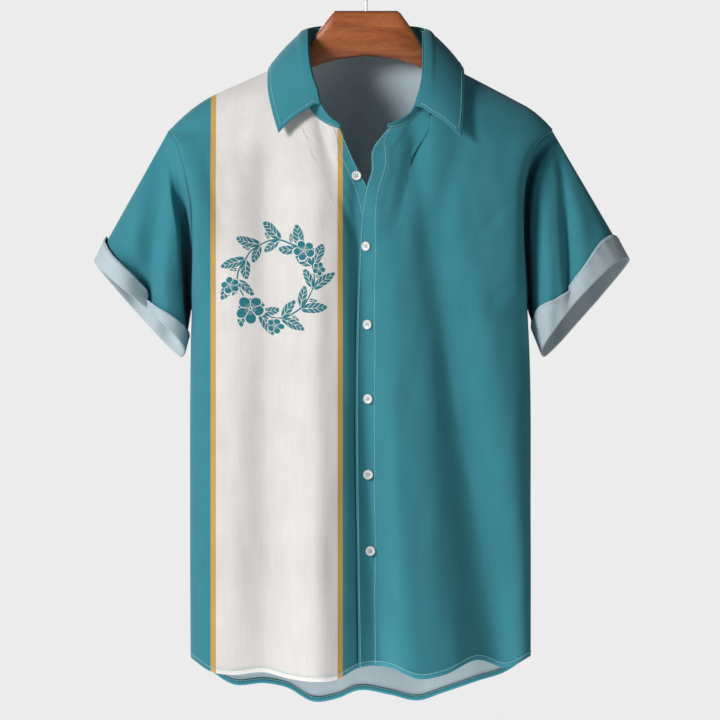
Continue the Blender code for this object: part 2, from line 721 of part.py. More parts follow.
def build_hanger(wood):
    """The body's rings run from one end to the other, inside the cloth of the shoulders."""
    stations = [(0.0, 1)]
    for side in (-1, 1):
        stations += [(side * x, side) for x in HANGER_STATIONS]
        stations += [(side * (HANGER_END[side] - back), side) for back in HANGER_END_STATIONS]
    stations = sorted(s for s in stations if abs(s[0]) <= HANGER_END[s[1]])
    bm = bmesh.new()
    rings = []
    for x, side in stations:
        top, foot, deep = hanger_section(side, abs(x))
        tip = HANGER_END_SHRINK if abs(x) >= HANGER_END[side] - 0.1 else 1.0
        middle, high = (top + foot) / 2, (foot - top) / 2 * tip
        ring = []
        for k in range(HANGER_CORNERS):
            a = 2 * math.pi * k / HANGER_CORNERS
            y = deep * tip * math.copysign(abs(math.sin(a)) ** HANGER_SQUARE, math.sin(a))
            drop = middle - high * math.copysign(abs(math.cos(a)) ** HANGER_SQUARE, math.cos(a))
            if abs(x) > HANGER_NECK[-2][0]:
                room = float(body_depth(side, x, drop - 2, y < 0)) * 0.8 - CLOTH - 0.8
                y = math.copysign(min(abs(y), max(room, 0.5)), y)
            ring.append(bm.verts.new((x * MM, y * MM, -drop * MM)))
        rings.append(ring)
    for a, b in zip(rings, rings[1:]):
        for k in range(HANGER_CORNERS):
            n = (k + 1) % HANGER_CORNERS
            bm.faces.new((a[k], a[n], b[n], b[k]))
    bm.faces.new(rings[0])
    bm.faces.new(rings[-1])
    finish("hanger", bm, wood)


def build_hook(steel):
    """The wire rises from the wood, swings to one side and passes over the hang point."""
    ring = HOOK_INNER + HOOK_WIRE / 2
    points = [(0, -HANGER_NECK[0][1] + SEAM), (0, -HANGER_NECK[0][1] + 13)]
    start = math.radians(222)
    arc = [start + (math.radians(-28) - start) * k / 22 for k in range(23)]
    first = (ring * math.cos(start), -HOOK_INNER + ring * math.sin(start))
    points.append((first[0] * 0.10, -49))
    points.append((first[0] * 0.45, -43))
    points += [(ring * math.cos(a), -HOOK_INNER + ring * math.sin(a)) for a in arc]
    curve = bpy.data.curves.new("hook", "CURVE")
    curve.dimensions = "3D"
    curve.bevel_depth = HOOK_WIRE / 2 * MM
    curve.bevel_resolution = 2
    curve.use_fill_caps = True
    spline = curve.splines.new("POLY")
    spline.points.add(len(points) - 1)
    for spot, (x, z) in zip(spline.points, points):
        spot.co = (x * MM, 0, z * MM, 1)
    curve.materials.append(steel)
    bpy.context.collection.objects.link(bpy.data.objects.new("hook", curve))


def main():
    for old in list(bpy.data.objects):
        bpy.data.objects.remove(old)
    teal = material("teal_cotton", (0.033, 0.220, 0.270), 0.85)
    printed = material("printed_cotton", (0.86, 0.84, 0.82), 0.85)
    white = material("white_resin", (0.87, 0.86, 0.82), 0.35)
    wood = material("lacquered_beech", (0.46, 0.14, 0.05), 0.4)
    steel = material("plated_steel", (0.6, 0.6, 0.6), 0.3, 1.0)
    build_front(-1, printed)
    build_front(1, teal)
    build_back(teal)
    for side in (-1, 1):
        build_sleeve(side, teal)
    build_collar(teal)
    for number, (x, drop) in enumerate(BUTTONS, 1):
        build_button(number, x, drop, white)
    build_hanger(wood)
    build_hook(steel)


main()
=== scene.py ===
import math

import bmesh
import bpy
import numpy as np
from mathutils import Matrix, Vector


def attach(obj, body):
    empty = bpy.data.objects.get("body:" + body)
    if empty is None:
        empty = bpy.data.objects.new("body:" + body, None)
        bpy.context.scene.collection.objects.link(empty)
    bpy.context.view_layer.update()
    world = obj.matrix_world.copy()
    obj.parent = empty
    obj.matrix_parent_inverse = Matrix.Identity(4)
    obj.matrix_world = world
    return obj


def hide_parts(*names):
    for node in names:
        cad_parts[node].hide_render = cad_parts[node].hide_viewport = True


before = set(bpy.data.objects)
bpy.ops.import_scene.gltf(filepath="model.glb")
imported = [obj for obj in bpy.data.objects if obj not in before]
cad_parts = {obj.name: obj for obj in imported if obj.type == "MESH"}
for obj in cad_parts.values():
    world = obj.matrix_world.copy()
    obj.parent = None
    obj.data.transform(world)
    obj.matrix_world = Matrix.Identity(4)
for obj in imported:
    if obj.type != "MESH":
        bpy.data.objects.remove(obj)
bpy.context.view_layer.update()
MM = 0.001


# ------------------------------------------------------------------ wooden hanger
# The hanger's body is one piece of beech, sawn to a wide neck block with two arms, rounded over,
# stained red-brown and lacquered. The arms lie inside the shoulders of the shirt.
def srgb(code):
    """A colour given as six hex digits of sRGB, as linear light."""
    parts = [int(code[i:i + 2], 16) / 255 for i in (0, 2, 4)]
    return (*(c / 12.92 if c <= 0.04045 else ((c + 0.055) / 1.055) ** 2.4 for c in parts), 1)


def add(tree, kind, settings=None, sockets=None):
    """Adds one node, with its settings, and its sockets' values or links."""
    made = tree.nodes.new("ShaderNode" + kind)
    for name, value in (settings or {}).items():
        setattr(made, name, value)
    for name, value in (sockets or {}).items():
        if isinstance(value, bpy.types.NodeSocket):
            tree.links.new(value, made.inputs[name])
        else:
            made.inputs[name].default_value = value
    return made


def new_material(name):
    made = bpy.data.materials.new(name)
    made.use_nodes = True
    return made, made.node_tree, made.node_tree.nodes["Principled BSDF"]


def ramp(tree, factor, stops, how="LINEAR"):
    made = add(tree, "ValToRGB", sockets={"Fac": factor})
    made.color_ramp.interpolation = how
    row = made.color_ramp.elements
    while len(row) < len(stops):
        row.new(0.5)
    for element, (place, colour) in zip(row, stops):
        element.position = place
    for element, (place, colour) in zip(row, stops):
        element.color = colour
    return made


# Lacquered beech: the stain lies darker in the pores, and the lacquer gives a soft clear gloss.
lacquered_beech, tree, shader = new_material("lacquered_beech")
place = add(tree, "TexCoord").outputs["Object"]
along = add(tree, "Mapping", sockets={"Vector": place, "Scale": (9, 60, 75)}).outputs[0]
grain = add(tree, "TexNoise", sockets={"Vector": along, "Scale": 1.0, "Detail": 6.0, "Roughness": 0.6,
                                       "Distortion": 0.6}).outputs[0]
flecks_at = add(tree, "Mapping", sockets={"Vector": place, "Scale": (160, 900, 1300)}).outputs[0]
flecks = add(tree, "TexNoise", sockets={"Vector": flecks_at, "Scale": 1.0, "Detail": 2.0}).outputs[0]
stain = ramp(tree, grain, [(0.28, srgb("7d3a1c")), (0.45, srgb("a4582f")), (0.6, srgb("b96a3c")),
                           (0.8, srgb("c9794a"))]).outputs[0]
pores = ramp(tree, flecks, [(0.34, srgb("8f4a2b")), (0.46, srgb("ffffff"))]).outputs[0]
wood_colour = add(tree, "MixRGB", {"blend_type": "MULTIPLY"}, {"Fac": 0.35, "Color1": stain, "Color2": pores})
wood_bump = add(tree, "Bump", sockets={"Strength": 0.15, "Distance": 0.0004, "Height": flecks})
tree.links.new(wood_colour.outputs[0], shader.inputs["Base Color"])
tree.links.new(wood_bump.outputs[0], shader.inputs["Normal"])
shader.inputs["Roughness"].default_value = 0.42
shader.inputs["Coat Weight"].default_value = 0.25
shader.inputs["Coat Roughness"].default_value = 0.25

wood = bmesh.new()
wood.from_mesh(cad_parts["hanger"].data)
bmesh.ops.remove_doubles(wood, verts=wood.verts, dist=1e-6)
bmesh.ops.join_triangles(wood, faces=wood.faces, angle_face_threshold=0.9, angle_shape_threshold=3.1)
bmesh.ops.recalc_face_normals(wood, faces=wood.faces)
for face in wood.faces:
    face.smooth = True
for layer in list(wood.loops.layers.uv.values()):
    wood.loops.layers.uv.remove(layer)
wood_mesh = bpy.data.meshes.new("hanger_wood")
wood.to_mesh(wood_mesh)
wood.free()
hanger = bpy.data.objects.new("hanger_wood", wood_mesh)
bpy.context.scene.collection.objects.link(hanger)
wood_mesh.set_sharp_from_angle(angle=math.radians(50))
hanger.data.materials.append(lacquered_beech)
rounding = hanger.modifiers.new("rounded edges", "BEVEL")
rounding.width = 1.6 * MM
rounding.segments = 3
rounding.limit_method = "ANGLE"
rounding.angle_limit = math.radians(32)
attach(hanger, "root")
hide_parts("hanger")


# ------------------------------------------------------------------ wire hook
# The hook is 3.6 mm steel wire, bent and plated, and screwed into the neck block.
# Plated steel: bright, with faint drawing lines along the wire.
plated_steel, tree, shader = new_material("plated_steel")
place = add(tree, "TexCoord").outputs["Object"]
drawn = add(tree, "TexNoise", sockets={"Vector": place, "Scale": 900.0, "Detail": 2.0}).outputs[0]
tint = ramp(tree, drawn, [(0.3, srgb("a9abad")), (0.7, srgb("c6c8c9"))]).outputs[0]
rough = add(tree, "MapRange", sockets={"Value": drawn, "To Min": 0.22, "To Max": 0.36}).outputs[0]
tree.links.new(tint, shader.inputs["Base Color"])
tree.links.new(rough, shader.inputs["Roughness"])
shader.inputs["Metallic"].default_value = 1.0
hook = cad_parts["hook"]
hook.data.materials.clear()
hook.data.materials.append(plated_steel)


# ------------------------------------------------------------------ back
# The back is one piece of plain-woven cotton, cut with a curved hem longer than the fronts'.
# Its outline and fall come from the same sections as the solid under it, in millimetres.
CLOTH = 0.7
HEM_ROOM = 5.5
HEM_DEEP = HEM_ROOM + 1.2
SHOULDER_TIP, ARMPIT = 216.0, 440.0
NECK_SIDE, NECK_SIDE_DROP, NECK_EASE = 80.0, 125.0, 14.0
NECK_FRONT_FALL, NECK_BACK_DEPTH, NECK_BACK_RISE = 91.0, 38.0, 7.0
QUARTER = math.pi / 2
# How flat the body hangs (0 is a box, 1 an ellipse), and how it falls away from the shoulders.
ROUND_OFF = 0.45
DRAPE_REACH, DRAPE_POWER = 70.0, 0.6
# The body's sections: half widths and depths at each drop, and how far the fronts' side edges
# come forward round the armholes.
BODY = {
    "drop": (110, 216, 228, 248, 272, 302, 340, 380, 415, 440, 480, 700, 940),
    "right": (246, 246, 237, 230, 224, 218, 216, 216, 217, 217, 218, 219, 218),
    "left": (232, 232, 218, 206, 199, 196, 196, 198, 200, 201, 203, 205, 205),
    "front": (84, 84, 84, 85, 85, 86, 86, 86, 86, 86, 85, 84, 86),
    "back": (50, 54, 55, 56, 57, 58, 60, 61, 62, 62, 63, 66, 70),
    "hole_right": (0, 0, 16, 30, 38, 40, 34, 22, 12, 0, 0, 0, 0),
    "hole_left": (0, 0, 9, 14, 17, 19, 19, 15, 9, 0, 0, 0, 0),
}
ARMHOLE_BACK = 42.0
# Each shoulder: its slope, where it begins to bend down, and by how much.
SHOULDER_LINE = {-1: (0.447, 185.0, 0.0053), 1: (0.530, 196.0, 0.0087)}
# The drop of the fronts' and the back's hem.
HEMS = {
    "x": (-219, -193, -169, -125, -98, -68, -35, -10, 28, 66, 97, 139, 175, 205),
    "front": (870, 887, 891, 888, 895, 899, 896, 883, 882, 896, 891, 873, 883, 869),
    "back": (870, 890, 905, 905, 911, 928, 924, 914, 919, 927, 917, 902, 890, 869),
}
# Hanging folds: x at the top and foot, drop of the top and foot, width at the top and foot of
# the wall on the side of lower x, the same of the other wall, and depth at the top and foot.
# A depth below 0 is a ridge.
BACK_FOLDS = (
    (-150, -158, 300, 960, 16, 20, 26, 34, 5, 13),
    (-72, -68, 330, 960, 22, 22, 22, 22, -4, -9),
    (-14, 6, 260, 960, 16, 24, 26, 40, 7, 14),
    (74, 70, 330, 960, 22, 22, 22, 22, -4, -9),
    (140, 132, 330, 960, 22, 30, 16, 20, 5, 13),
)
FOLD_FADE = 60.0
# Short creases: x and drop of both ends, width, depth. Each fades over its ends, as shares of
# its length.
CREASE_FADE, CREASE_PAST = 0.45, 0.2
BACK_CREASES = (
    (-196, 330, -120, 260, 9, 2.4),
    (-204, 372, -130, 330, 8, 1.8),
    (-208, 420, -150, 412, 8, 1.6),
    (178, 330, 110, 262, 9, 2.2),
    (186, 378, 120, 340, 8, 1.8),
    (190, 424, 140, 418, 8, 1.4),
    (-60, 170, -96, 300, 12, 1.6),
    (52, 170, 92, 290, 12, 1.6),
    (-30, 600, -44, 820, 12, 1.6),
    (96, 560, 104, 800, 12, 1.6),
    (-20, 176, -24, 250, 8, -3.0),
    (24, 176, 26, 250, 9, -2.4),
    (2, 180, 2, 250, 8, 1.6),
)


def hand(side):
    return "right" if side < 0 else "left"


def smooth(t):
    t = np.clip(t, 0.0, 1.0)
    return t * t * (3 - 2 * t)


def through(table, key, at):
    """A smooth curve through one column of a table, read at the first column's value."""
    xs, ys = np.array(table[next(iter(table))], float), np.array(table[key], float)
    slopes = np.gradient(ys, xs)
    at = np.clip(at, xs[0], xs[-1])
    i = np.clip(np.searchsorted(xs, at) - 1, 0, len(xs) - 2)
    span = xs[i + 1] - xs[i]
    t = (at - xs[i]) / span
    return (ys[i] + t * t * (3 - 2 * t) * (ys[i + 1] - ys[i])
            + span * t * (1 - t) * (slopes[i] * (1 - t) - slopes[i + 1] * t))


def half_width(side, drop):
    return through(BODY, hand(side), np.maximum(drop, SHOULDER_TIP))


def hole_depth(side, drop):
    deep = through(BODY, "hole_" + hand(side), drop)
    return np.where((drop > SHOULDER_TIP) & (drop < ARMPIT), np.maximum(deep, 0), 0)


def shoulder_drop(side, x):
    slope, bend_from, bend = SHOULDER_LINE[side]
    past = np.abs(x) - NECK_SIDE
    out = (past + np.sqrt(past**2 + NECK_EASE**2) - NECK_EASE) / 2
    return NECK_SIDE_DROP + slope * out + bend * np.maximum(np.abs(x) - bend_from, 0) ** 2


def folds(table, x, drop):
    total = 0.0
    for x_top, x_foot, top, foot, low_top, low_foot, high_top, high_foot, deep_top, deep_foot in table:
        run = np.clip((drop - top) / (foot - top), 0, 1)
        middle = x_top + (x_foot - x_top) * run
        deep = deep_top + (deep_foot - deep_top) * smooth(run)
        fade = smooth((drop - top + FOLD_FADE) / (2 * FOLD_FADE))
        fade = fade * smooth((foot + FOLD_FADE - drop) / FOLD_FADE)
        low, high = low_top + (low_foot - low_top) * run, high_top + (high_foot - high_top) * run
        width = np.where(x < middle, low, high)
        total = total + deep * fade * np.exp(-(((x - middle) / width) ** 2))
    return total


def creases(table, x, drop):
    """Soft straight troughs (or ridges, where deep is below 0) that fade at both ends."""
    total = 0.0
    for x_from, drop_from, x_to, drop_to, width, deep in table:
        run_x, run_drop = x_to - x_from, drop_to - drop_from
        length = math.hypot(run_x, run_drop)
        t = ((x - x_from) * run_x + (drop - drop_from) * run_drop) / length**2
        off = ((x - x_from) * run_drop - (drop - drop_from) * run_x) / length
        fade = smooth((t + CREASE_PAST) / CREASE_FADE) * smooth((1 + CREASE_PAST - t) / CREASE_FADE)
        total = total + deep * fade * np.exp(-((off / width) ** 2))
    return total


# The widths of the waves in the cloth, and how deep the widest is, either way.
WAVES = (95, 70, 52, 41, 33, 26)
WAVE_DEEP = 0.5


def uneven(x, drop, seed):
    """The small unevenness of hanging cloth: long soft waves that run mostly downwards."""
    pick = np.random.default_rng(seed)
    total = 0.0
    for wide in WAVES:
        tall = wide * pick.uniform(3.0, 6.0)
        a, b = pick.uniform(0, 2 * math.pi, 2)
        sway = 1.2 * np.sin(2 * math.pi * drop / tall + b)
        total = total + wide / WAVES[0] * np.sin(2 * math.pi * x / wide + a + sway)
    return total * WAVE_DEEP


def body_depth(side, x, drop, front):
    """How far the cloth lies in front of (or behind) the shoulder line's plane."""
    half = half_width(side, drop)
    share = np.clip(np.abs(x) / half, 0, 1)
    round_off = np.cos(np.arcsin(share)) ** ROUND_OFF
    below = drop - shoulder_drop(side, x)
    if front:
        full = through(BODY, "front", drop)
        hole = hole_depth(side, drop)
        relief = folds(FRONT_FOLDS, x, drop) + creases(FRONT_CREASES, x, drop) + uneven(x, drop, 11 + side)
    else:
        full = through(BODY, "back", drop)
        middle, half_hole = (SHOULDER_TIP + ARMPIT) / 2, (ARMPIT - SHOULDER_TIP) / 2
        hole = ARMHOLE_BACK * np.sqrt(np.clip(1 - ((drop - middle) / half_hole) ** 2, 0, 1))
        relief = folds(BACK_FOLDS, x, drop) + creases(BACK_CREASES, x, drop) + uneven(x, drop, 23)
        inside = np.clip(1 - (np.abs(x) / NECK_SIDE) ** 2, 0, 1)
        wanted = NECK_BACK_DEPTH * np.sqrt(inside) / full
        reach = -DRAPE_REACH * np.log(1 - wanted ** (1 / DRAPE_POWER))
        below = below + NECK_BACK_RISE * np.sqrt(inside) + reach
    relief = relief * round_off * smooth(below / FOLD_FADE)
    stand_off = (1 - np.exp(-np.maximum(below, 0) / DRAPE_REACH)) ** DRAPE_POWER
    return full * round_off * stand_off + hole * share**6 - relief


def unit(vectors):
    return vectors / np.maximum(np.linalg.norm(vectors, axis=-1, keepdims=True), 1e-9)


def normals(grid, core, ring=False):
    """The unit normals of rows and columns of points, turned away from core."""
    down = np.gradient(grid, axis=0)
    across = np.roll(grid, -1, axis=1) - np.roll(grid, 1, axis=1) if ring else np.gradient(grid, axis=1)
    found = unit(np.cross(down, across))
    return found if np.sum(found * (grid - core)) > 0 else -found


def lay(name, grid, core, materials, thick, cut, ring=False):
    """A sheet of cloth: a grid of squares laid along rows and columns of points, in millimetres.
    Its face looks away from core. Its own map gives the place on the cut cloth, in metres."""
    if ring:
        grid = np.concatenate([grid, grid[:, :1]], axis=1)
        core = np.concatenate([core, core[:, :1]], axis=1)
    rows, columns = grid.shape[:2]
    bm = bmesh.new()
    bmesh.ops.create_grid(bm, x_segments=columns - 1, y_segments=rows - 1, size=0.5)
    flat = np.array([v.co[:2] for v in bm.verts]) + 0.5
    row = np.rint((1 - flat[:, 1]) * (rows - 1)).astype(int)
    column = np.rint(flat[:, 0] * (columns - 1)).astype(int)
    layer = bm.loops.layers.uv.new("cut_cloth")
    for face in bm.faces:
        face.smooth = True
        for loop in face.loops:
            i = loop.vert.index
            loop[layer].uv = (column[i] / (columns - 1) * cut[0], -row[i] / (rows - 1) * cut[1])
    for v, r, c in zip(bm.verts, row, column):
        v.co = grid[r, c] * MM
    bm.normal_update()
    facing = sum(face.normal.dot(Vector(grid[row[i], column[i]] - core[row[i], column[i]]))
                 for face in bm.faces for i in (face.verts[0].index,))
    if facing < 0:
        bmesh.ops.reverse_faces(bm, faces=bm.faces)
    if ring:
        bmesh.ops.remove_doubles(bm, verts=bm.verts, dist=1e-6)
    mesh = bpy.data.meshes.new(name)
    bm.to_mesh(mesh)
    bm.free()
    made = bpy.data.objects.new(name, mesh)
    bpy.context.scene.collection.objects.link(made)
    for finish in materials:
        made.data.materials.append(finish)
    wall = made.modifiers.new("cloth thickness", "SOLIDIFY")
    wall.thickness = thick * MM
    wall.offset = -1
    wall.material_offset = len(materials) - 1
    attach(made, "root")
    return made


def cotton(name, colour):
    """Plain-woven cotton, dull, with a faint nap. colour(tree) gives the printed colour's socket.
    The real threads are 0.3 mm apart; they are drawn at about 1.3 mm, the finest that shows,
    with long slubs."""
    made, tree, shader = new_material(name)
    spot = add(tree, "UVMap", {"uv_map": "cut_cloth"}).outputs[0]
    slub_at = add(tree, "Mapping", sockets={"Vector": spot, "Scale": (420, 26, 1)}).outputs[0]
    slubs = add(tree, "TexNoise", sockets={"Vector": slub_at, "Scale": 1.0, "Detail": 3.0}).outputs[0]
    cloud = add(tree, "TexNoise", sockets={"Vector": spot, "Scale": 22.0, "Detail": 4.0}).outputs[0]
    threads = {"Vector": spot, "Scale": 240.0, "Distortion": 0.6, "Detail": 1.0}
    warp, weft = (add(tree, "TexWave", {"bands_direction": way}, threads).outputs[1] for way in "XY")
    weave = add(tree, "Math", {"operation": "MAXIMUM"}, {0: warp, 1: weft}).outputs[0]
    both = add(tree, "Math", {"operation": "MULTIPLY_ADD"}, {0: slubs, 1: 0.6, 2: weave}).outputs[0]
    shade = add(tree, "MapRange", sockets={"Value": slubs, "From Min": 0.3, "From Max": 0.7,
                                           "To Min": 0.965, "To Max": 1.025}).outputs[0]
    cloudy = add(tree, "MapRange", sockets={"Value": cloud, "From Min": 0.3, "From Max": 0.7,
                                            "To Min": 0.96, "To Max": 1.03}).outputs[0]
    tone = add(tree, "Math", {"operation": "MULTIPLY"}, {0: shade, 1: cloudy}).outputs[0]
    toned = add(tree, "VectorMath", {"operation": "SCALE"}, {0: colour(tree), "Scale": tone}).outputs[0]
    bump = add(tree, "Bump", sockets={"Strength": 0.25, "Distance": 0.0003, "Height": both}).outputs[0]
    tree.links.new(toned, shader.inputs["Base Color"])
    tree.links.new(bump, shader.inputs["Normal"])
    shader.inputs["Roughness"].default_value = 0.88
    shader.inputs["Specular IOR Level"].default_value = 0.25
    shader.inputs["Sheen Weight"].default_value = 0.12
    shader.inputs["Sheen Roughness"].default_value = 0.5
    return made


def plain(code):
    """One colour all over, as cotton() takes it."""
    def colour(tree):
        made = add(tree, "RGB")
        made.outputs[0].default_value = srgb(code)
        return made.outputs[0]
    return colour


# Cotton printed teal on its face; the print barely strikes through, so the reverse is pale.
teal_cotton = cotton("teal_cotton", plain("3b8b99"))
pale_reverse = cotton("pale_cotton_reverse", plain("bccbd2"))


def panel_rows(top, hem, rows):
    """Drops from the top edge to the hem, closer together at the shoulder."""
    share = np.linspace(0, 1, rows + 1)[:, None]
    return top + (hem - top) * share * (0.35 + 0.65 * share)


def beside(grid, out, distance, lift=0.3):
    """The run of points a distance in from the last row of a grid, a little above its face."""
    distance = np.broadcast_to(distance, grid.shape[1])
    points, outs = [], []
    columns, faces = grid.transpose(1, 0, 2)[:, ::-1], out.transpose(1, 0, 2)[:, ::-1]
    for column, faced, far in zip(columns, faces, distance):
        run = np.concatenate([[0], np.cumsum(np.linalg.norm(np.diff(column, axis=0), axis=1))])
        points.append([np.interp(far, run, column[:, k]) for k in range(3)])
        outs.append([np.interp(far, run, faced[:, k]) for k in range(3)])
    return np.array(points) + unit(np.array(outs)) * lift, unit(np.array(outs))


def turned(grid):
    """The grid with its first column made the last row."""
    return grid.transpose(1, 0, 2)[::-1]


def tuck_in(grid, first, last, hem):
    """Adds the seam allowances that are turned inside: along the top, at the side and the hem."""
    out = normals(grid, grid * np.array([0.5, 0, 1]))
    up = unit(grid[0] - grid[1])
    top = grid[0] + up * 2.4 - np.array([0, 0, 2.0])
    down = unit(grid[-1] - grid[-2])
    foot = [grid[-1] - out[-1] * 0.45 + down * 0.35, grid[-1] - out[-1] * 1.1 + down * 0.1]
    foot += [beside(grid, out, far, -1.25)[0] for far in (0.4 * hem, hem)]
    grid = np.concatenate([top[None], grid, np.array(foot)])
    for end, side in ((0, first), (-1, last)):
        if side:
            step = unit(grid[:, end] - grid[:, 1 if end == 0 else -2]) * 3
            # The allowance starts below the shoulder's tip, where it would show.
            held = smooth(np.arange(len(grid)) / 10)[:, None]
            extra = grid[:, end] + step * held - np.array([side * 1.2, 0, 0]) * held
            grid = np.concatenate([extra[:, None], grid] if end == 0 else [grid, extra[:, None]], axis=1)
    return grid


def back_grid():
    columns = []
    for side in (-1, 1):
        widest = half_width(side, SHOULDER_TIP)
        turn = math.asin(NECK_SIDE / widest) / QUARTER
        shares = np.concatenate([np.linspace(0, turn, 17), np.linspace(turn, 1, 43)[1:]])
        x_top = side * widest * np.sin(QUARTER * shares)
        inside = np.sqrt(np.clip(1 - (x_top / NECK_SIDE) ** 2, 0, 1))
        neck = NECK_SIDE_DROP - NECK_BACK_RISE * inside
        top = np.where(shares >= turn - 1e-9, shoulder_drop(side, x_top), neck)
        hem = through(HEMS, "back", side * half_width(side, 900.0) * np.sin(QUARTER * shares))
        drops = panel_rows(top[None], hem[None], 170)
        x = side * half_width(side, drops) * np.sin(QUARTER * shares)[None]
        columns.append(np.stack([x, body_depth(side, x, drops, False) + 0.15, -drops], axis=2))
    return np.concatenate([columns[0][:, ::-1], columns[1][:, 1:]], axis=1)


back_points = back_grid()
back_face = (back_points, normals(back_points, back_points * np.array([0.5, 0, 1])))
back_points = tuck_in(back_points, -1, 1, HEM_DEEP)
back = lay("back_cloth", back_points, back_points * np.array([0.5, 0, 1]), [teal_cotton, pale_reverse],
           CLOTH, (0.56, 0.86))
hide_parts("back")


# ------------------------------------------------------------------ fronts
# Two fronts of the same cotton, their edges turned back twice and stitched down as button bands.
# The wearer's left front laps over the right one; the right one is printed with the pale panel.
FRONT_FOLDS = (
    (-124, -121, 230, 960, 18, 34, 26, 36, 9, 20),
    (-62, -58, 300, 960, 20, 24, 16, 16, -5, -8),
    (-10, 18, 300, 960, 14, 32, 14, 24, 11, 34),
    (40, 44, 300, 960, 14, 14, 24, 30, -2, -3),
    (58, 182, 215, 960, 12, 46, 24, 50, 6, 44),
    (-60, -34, 190, 300, 9, 9, 9, 9, 5, 1),
)
FRONT_CREASES = (
    (-200, 250, -182, 330, 7, 2.0),
    (-206, 360, -176, 420, 8, 1.6),
    (-208, 430, -150, 455, 8, 1.4),
    (-30, 300, -14, 352, 5, 2.2),
    (66, 215, 34, 350, 11, 5.0),
    (120, 215, 92, 330, 14, 3.0),
    (182, 300, 140, 345, 8, 1.6),
    (190, 400, 150, 436, 8, 1.6),
    (-168, 560, -176, 800, 12, 1.6),
    (96, 480, 118, 700, 12, 1.8),
    (24, 560, 28, 860, 7, 1.6),
    (-96, 620, -92, 860, 12, 1.4),
)

# The left front's lap over the right one, the band's width and depth, and the bands' edges.
LAP = 3.6
BAND = 26.0
BAND_DEEP = 1.5
EDGES = {
    "drop": (214, 241, 267, 286, 330, 370, 940),
    "right": (-32, -21, -9, 1, 14, 17, 17),
    "left": (27, 8, 7, 1, -6, -8, -8),
}
FRONT_NECK_END = {-1: 32.0, 1: 27.0}


def edge_x(side, drop):
    return through(EDGES, hand(side), np.maximum(drop, 214))


def neck_front_drop(x):
    share = np.clip(np.abs(x) / NECK_SIDE, 0, 1)
    return NECK_SIDE_DROP + NECK_FRONT_FALL * (1 - share**3) ** (1 / 3)


def front_spots(side, x, drop):
    """Points of a front's outer face. The band is three layers thick and its stitch draws in."""
    from_edge = (x - edge_x(side, drop)) * side
    band = smooth((BAND + 1 - from_edge) / 2.5)
    pull = np.exp(-(((from_edge - BAND + 1.5) / 1.3) ** 2))
    gathers = np.sin(2 * math.pi * drop / 11 + 1.7 * np.sin(drop / 37))
    pucker = np.exp(-(((from_edge - BAND) / 7) ** 2)) * gathers
    depth = body_depth(side, x, drop, True) + 0.9 * band - 0.5 * pull + 0.22 * pucker
    spots = np.stack([x, -depth - 0.15, -drop], axis=-1)
    if side < 0:
        spots[..., 1] += LAP * smooth((x + 24) / 14) * smooth((drop - 262) / 24)
    return spots


def front_grid(side):
    start = FRONT_NECK_END[side]
    widest = half_width(side, SHOULDER_TIP)
    first, corner = math.asin(start / widest), math.asin(NECK_SIDE / widest)
    turn = (corner - first) / (QUARTER - first)
    # The neck's own columns are spaced along its curve, which falls steeply at its side.
    along_neck = np.linspace(0, math.acos((start / NECK_SIDE) ** 1.5), 30)
    neck_x = NECK_SIDE * np.cos(along_neck) ** (2 / 3)
    neck = np.sort((np.arcsin(neck_x / widest) - first) / (QUARTER - first))
    neck = neck[(neck > 0.104) & (neck < turn - 0.0035)]
    shares = np.concatenate([np.linspace(0, 0.1, 18), neck, np.linspace(turn, 1, 62)])
    x_top = widest * np.sin(first + (QUARTER - first) * shares)
    top = np.where(shares >= turn - 1e-9, shoulder_drop(side, x_top), neck_front_drop(x_top))

    def column_x(drops):
        half = half_width(side, drops)
        inner = np.arcsin(edge_x(side, drops) * side / half)
        return side * half * np.sin(inner + (QUARTER - inner) * shares[None])

    hem = through(HEMS, "front", column_x(np.full((1, len(shares)), 880.0)))
    drops = panel_rows(top[None], hem, 190)
    return front_spots(side, column_x(drops), drops)


# The print: teal ground, and on the wearer's right a cream panel between two narrow gold stripes.
# The panel carries a wreath of leaves and flowers in teal, with their veins left in cream.
PRINT_SPAN = (-220.0, 20.0)
# Where each colour begins, across the front.
STRIPES = ((-220.0, "3b8b99"), (-193.3, "d0a95c"), (-187.1, "e9e5e2"), (-35.4, "d0a95c"), (-29.2, "3b8b99"))
# The wreath's middle (x and drop) and radius.
WREATH = (-111.0, 400.0, 47.0)
# Leaves round the ring: how many, the turn from the ring's line in degrees, length, half width.
WREATH_LEAVES = ((11, 38, 33, 6.4), (11, -40, 27, 5.4), (22, 62, 13, 2.0))
# x and drop of each flower's middle, its size, and its turn in degrees.
FLOWERS = (
    (-143, 438, 17, 10),
    (-166, 409, 11, 40),
    (-112, 459, 11, 75),
    (-77, 366, 13, 30),
    (-58, 389, 8, 5),
)


